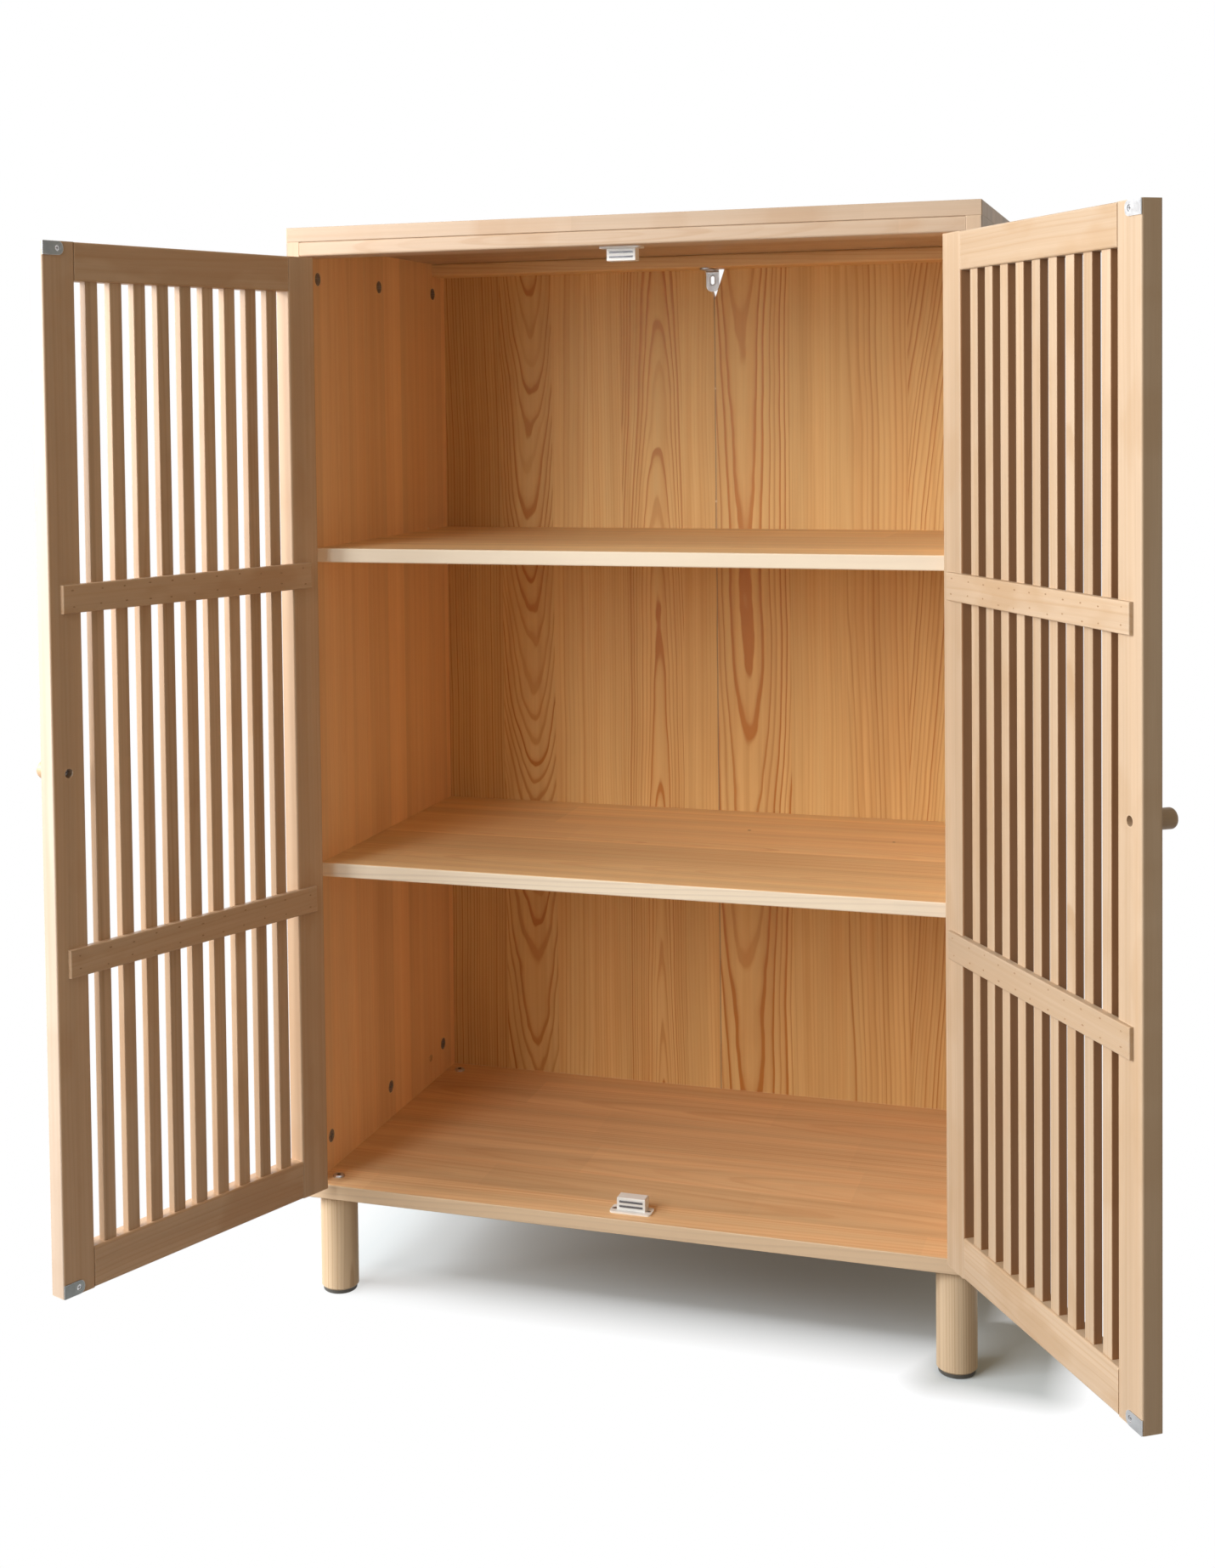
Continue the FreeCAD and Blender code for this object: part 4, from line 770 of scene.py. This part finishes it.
# The rolled lip round the wall bracket's slot.
BRACKET_SLOT = Vector((-0.036, BACK_FACE - 0.002, 1.1545))
SLOT_HALF_WIDTH = 0.0025
SLOT_HALF_STRAIGHT = 0.0028
LIP_RADIUS = 0.0007
body = bmesh.new()
lip = []
for x, z in circle(SLOT_HALF_WIDTH + LIP_RADIUS, 28):
    outward = Vector((x, 0, z)).normalized()
    centre = BRACKET_SLOT + Vector((x, 0, z + math.copysign(SLOT_HALF_STRAIGHT, z)))
    lip.append([centre + outward * across + BACK * through for across, through in circle(LIP_RADIUS, 6)])
skin(body, lip, True)
add_piece("wall_bracket_slot_lip", body, "carcass", PLATE, smooth=True)

# A small turned plug with a raised rim, in a spare hole low on the left side: radius and height.
PLUG_PLACE = Vector((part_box("left_side_panel")[1].x, 0.3036, 0.1609))
PLUG_PROFILE = [(0.0022, 0.0003), (0.0027, 0.0005), (0.0031, 0.0009), (0.0038, 0.0009), (0.0043, 0.0005),
                (0.0045, 0.0), (0.0045, -0.0006)]
body = bmesh.new()
plug_frame = facing_frame(PLUG_PLACE, RIGHT)
outlines = [[plug_frame @ Vector((radius * c, radius * s, height)) for radius, height in PLUG_PROFILE]
            for c, s in circle(1.0, 24)]
rings = skin(body, outlines, False)
body.faces.new([ring[0] for ring in rings][::-1])
body.faces.new([ring[-1] for ring in rings])
PLUG_SPAN = (0.29, 0.32)
staves = random_staves(81, *PLUG_SPAN, width=0.1, contrast=(0.2, 0.3))
PLUG_WOOD = pine("plug_wood", "zyx", PLUG_PLACE.x, staves, PLUG_SPAN, tones=PLUG)
add_piece("left_side_plug", body, "carcass", PLUG_WOOD)


def seen_plainly(tree):
    """1 for rays that show the background itself: from the camera, a gloss or through glass."""
    paths = node(tree, "ShaderNodeLightPath")
    seen = maths(tree, "MAXIMUM", paths.outputs["Is Camera Ray"], paths.outputs["Is Glossy Ray"])
    return maths(tree, "MAXIMUM", seen, paths.outputs["Is Transmission Ray"])


def beyond(tree, value, low, high):
    """How far a coordinate is outside a stretch."""
    off = maths(tree, "ABSOLUTE", maths(tree, "SUBTRACT", value, (low + high) / 2))
    return maths(tree, "MAXIMUM", maths(tree, "SUBTRACT", off, (high - low) / 2), 0.0)


def away_from(tree, x, y, x_range, y_range):
    """How far a point of the floor is from a rectangle."""
    off = vector(tree, beyond(tree, x, *x_range), beyond(tree, y, *y_range), 0.0)
    return node(tree, "ShaderNodeVectorMath", {0: off}, operation="LENGTH").outputs["Value"]


# Where the floor keeps its whole shadow, under the carcass and beside the front right leg.
# Each has its stretch along x and along y, and the length over which it fades outside them.
SHADOWS = [((-0.394, 0.326), (0.05, 0.39), 0.10), ((0.30, 0.40), (-0.045, 0.10), 0.045)]
FLOOR_RADIUS = 14.0


def floor():
    """A wide white floor that keeps the shadow under the object and pales to white round it."""
    bpy.ops.mesh.primitive_circle_add(vertices=64, radius=FLOOR_RADIUS, fill_type="NGON", location=(0, 0, 0))
    plane = bpy.context.object
    plane.name = "floor"
    material, tree = new_material("floor_white")
    x, y, _ = split(tree, node(tree, "ShaderNodeTexCoord").outputs["Object"])
    fades = [spread(tree, away_from(tree, x, y, x_range, y_range), 0.0, 1.0, 0.0, length)
             for x_range, y_range, length in SHADOWS]
    fade = maths(tree, "MINIMUM", *fades)
    seen = seen_plainly(tree)
    tone = mix(tree, seen, FLOOR_BOUNCE, FLOOR_SEEN)
    matt = node(tree, "ShaderNodeBsdfDiffuse", {"Color": tone})
    glow = node(tree, "ShaderNodeEmission", {"Color": (1, 1, 1, 1), "Strength": 1.0})
    finish(tree, node(tree, "ShaderNodeMixShader", {
        0: maths(tree, "MULTIPLY", fade, seen), 1: matt.outputs[0], 2: glow.outputs[0]}))
    plane.data.materials.append(material)


def sky():
    """Even, slightly warm light from all round, seen as plain white."""
    world = bpy.data.worlds.new("studio")
    bpy.context.scene.world = world
    world.use_nodes = True
    tree = world.node_tree
    tree.nodes.clear()
    seen = seen_plainly(tree)
    glow = node(tree, "ShaderNodeBackground", {
        "Color": mix(tree, seen, SKY_TINT, (1.0, 1.0, 1.0)),
        "Strength": spread(tree, seen, SKY_STRENGTH, 1.0)})
    output = node(tree, "ShaderNodeOutputWorld")
    tree.links.new(glow.outputs[0], output.inputs[0])


def softbox(name, place, target, size, power):
    """A square studio light aimed at a point."""
    data = bpy.data.lights.new(name, "AREA")
    data.shape = "SQUARE"
    data.size = size
    data.energy = power
    lamp = bpy.data.objects.new(name, data)
    bpy.context.scene.collection.objects.link(lamp)
    lamp.location = place
    lamp.visible_camera = False
    lamp.rotation_euler = (Vector(target) - Vector(place)).to_track_quat("-Z", "Y").to_euler()


def camera():
    """The photograph's viewpoint, as fitted to the cabinet's corners."""
    right = Vector((math.cos(CAMERA_YAW), math.sin(CAMERA_YAW), 0))
    ahead = Vector((-math.sin(CAMERA_YAW) * math.cos(CAMERA_PITCH),
                    math.cos(CAMERA_YAW) * math.cos(CAMERA_PITCH), math.sin(CAMERA_PITCH)))
    up = right.cross(ahead)
    rolled_right = math.cos(CAMERA_ROLL) * right + math.sin(CAMERA_ROLL) * up
    rolled_up = math.cos(CAMERA_ROLL) * up - math.sin(CAMERA_ROLL) * right
    data = bpy.data.cameras.new("camera")
    data.sensor_width = SENSOR_WIDTH
    data.lens = FOCAL_LENGTH_PX * SENSOR_WIDTH / PICTURE_HEIGHT
    data.shift_x = (PICTURE_WIDTH / 2 - OPTICAL_CENTRE_PX[0]) / PICTURE_HEIGHT
    data.shift_y = (OPTICAL_CENTRE_PX[1] - PICTURE_HEIGHT / 2) / PICTURE_HEIGHT
    data.clip_end = 100.0
    body = bpy.data.objects.new("camera", data)
    bpy.context.scene.collection.objects.link(body)
    turn = Matrix((rolled_right, rolled_up, -ahead)).transposed()
    body.matrix_world = Matrix.Translation(CAMERA_PLACE) @ turn.to_4x4()
    bpy.context.scene.camera = body


floor()
sky()
for name, figures in LIGHTS.items():
    softbox(name, *figures)
camera()
bpy.context.scene.view_settings.view_transform = "Standard"
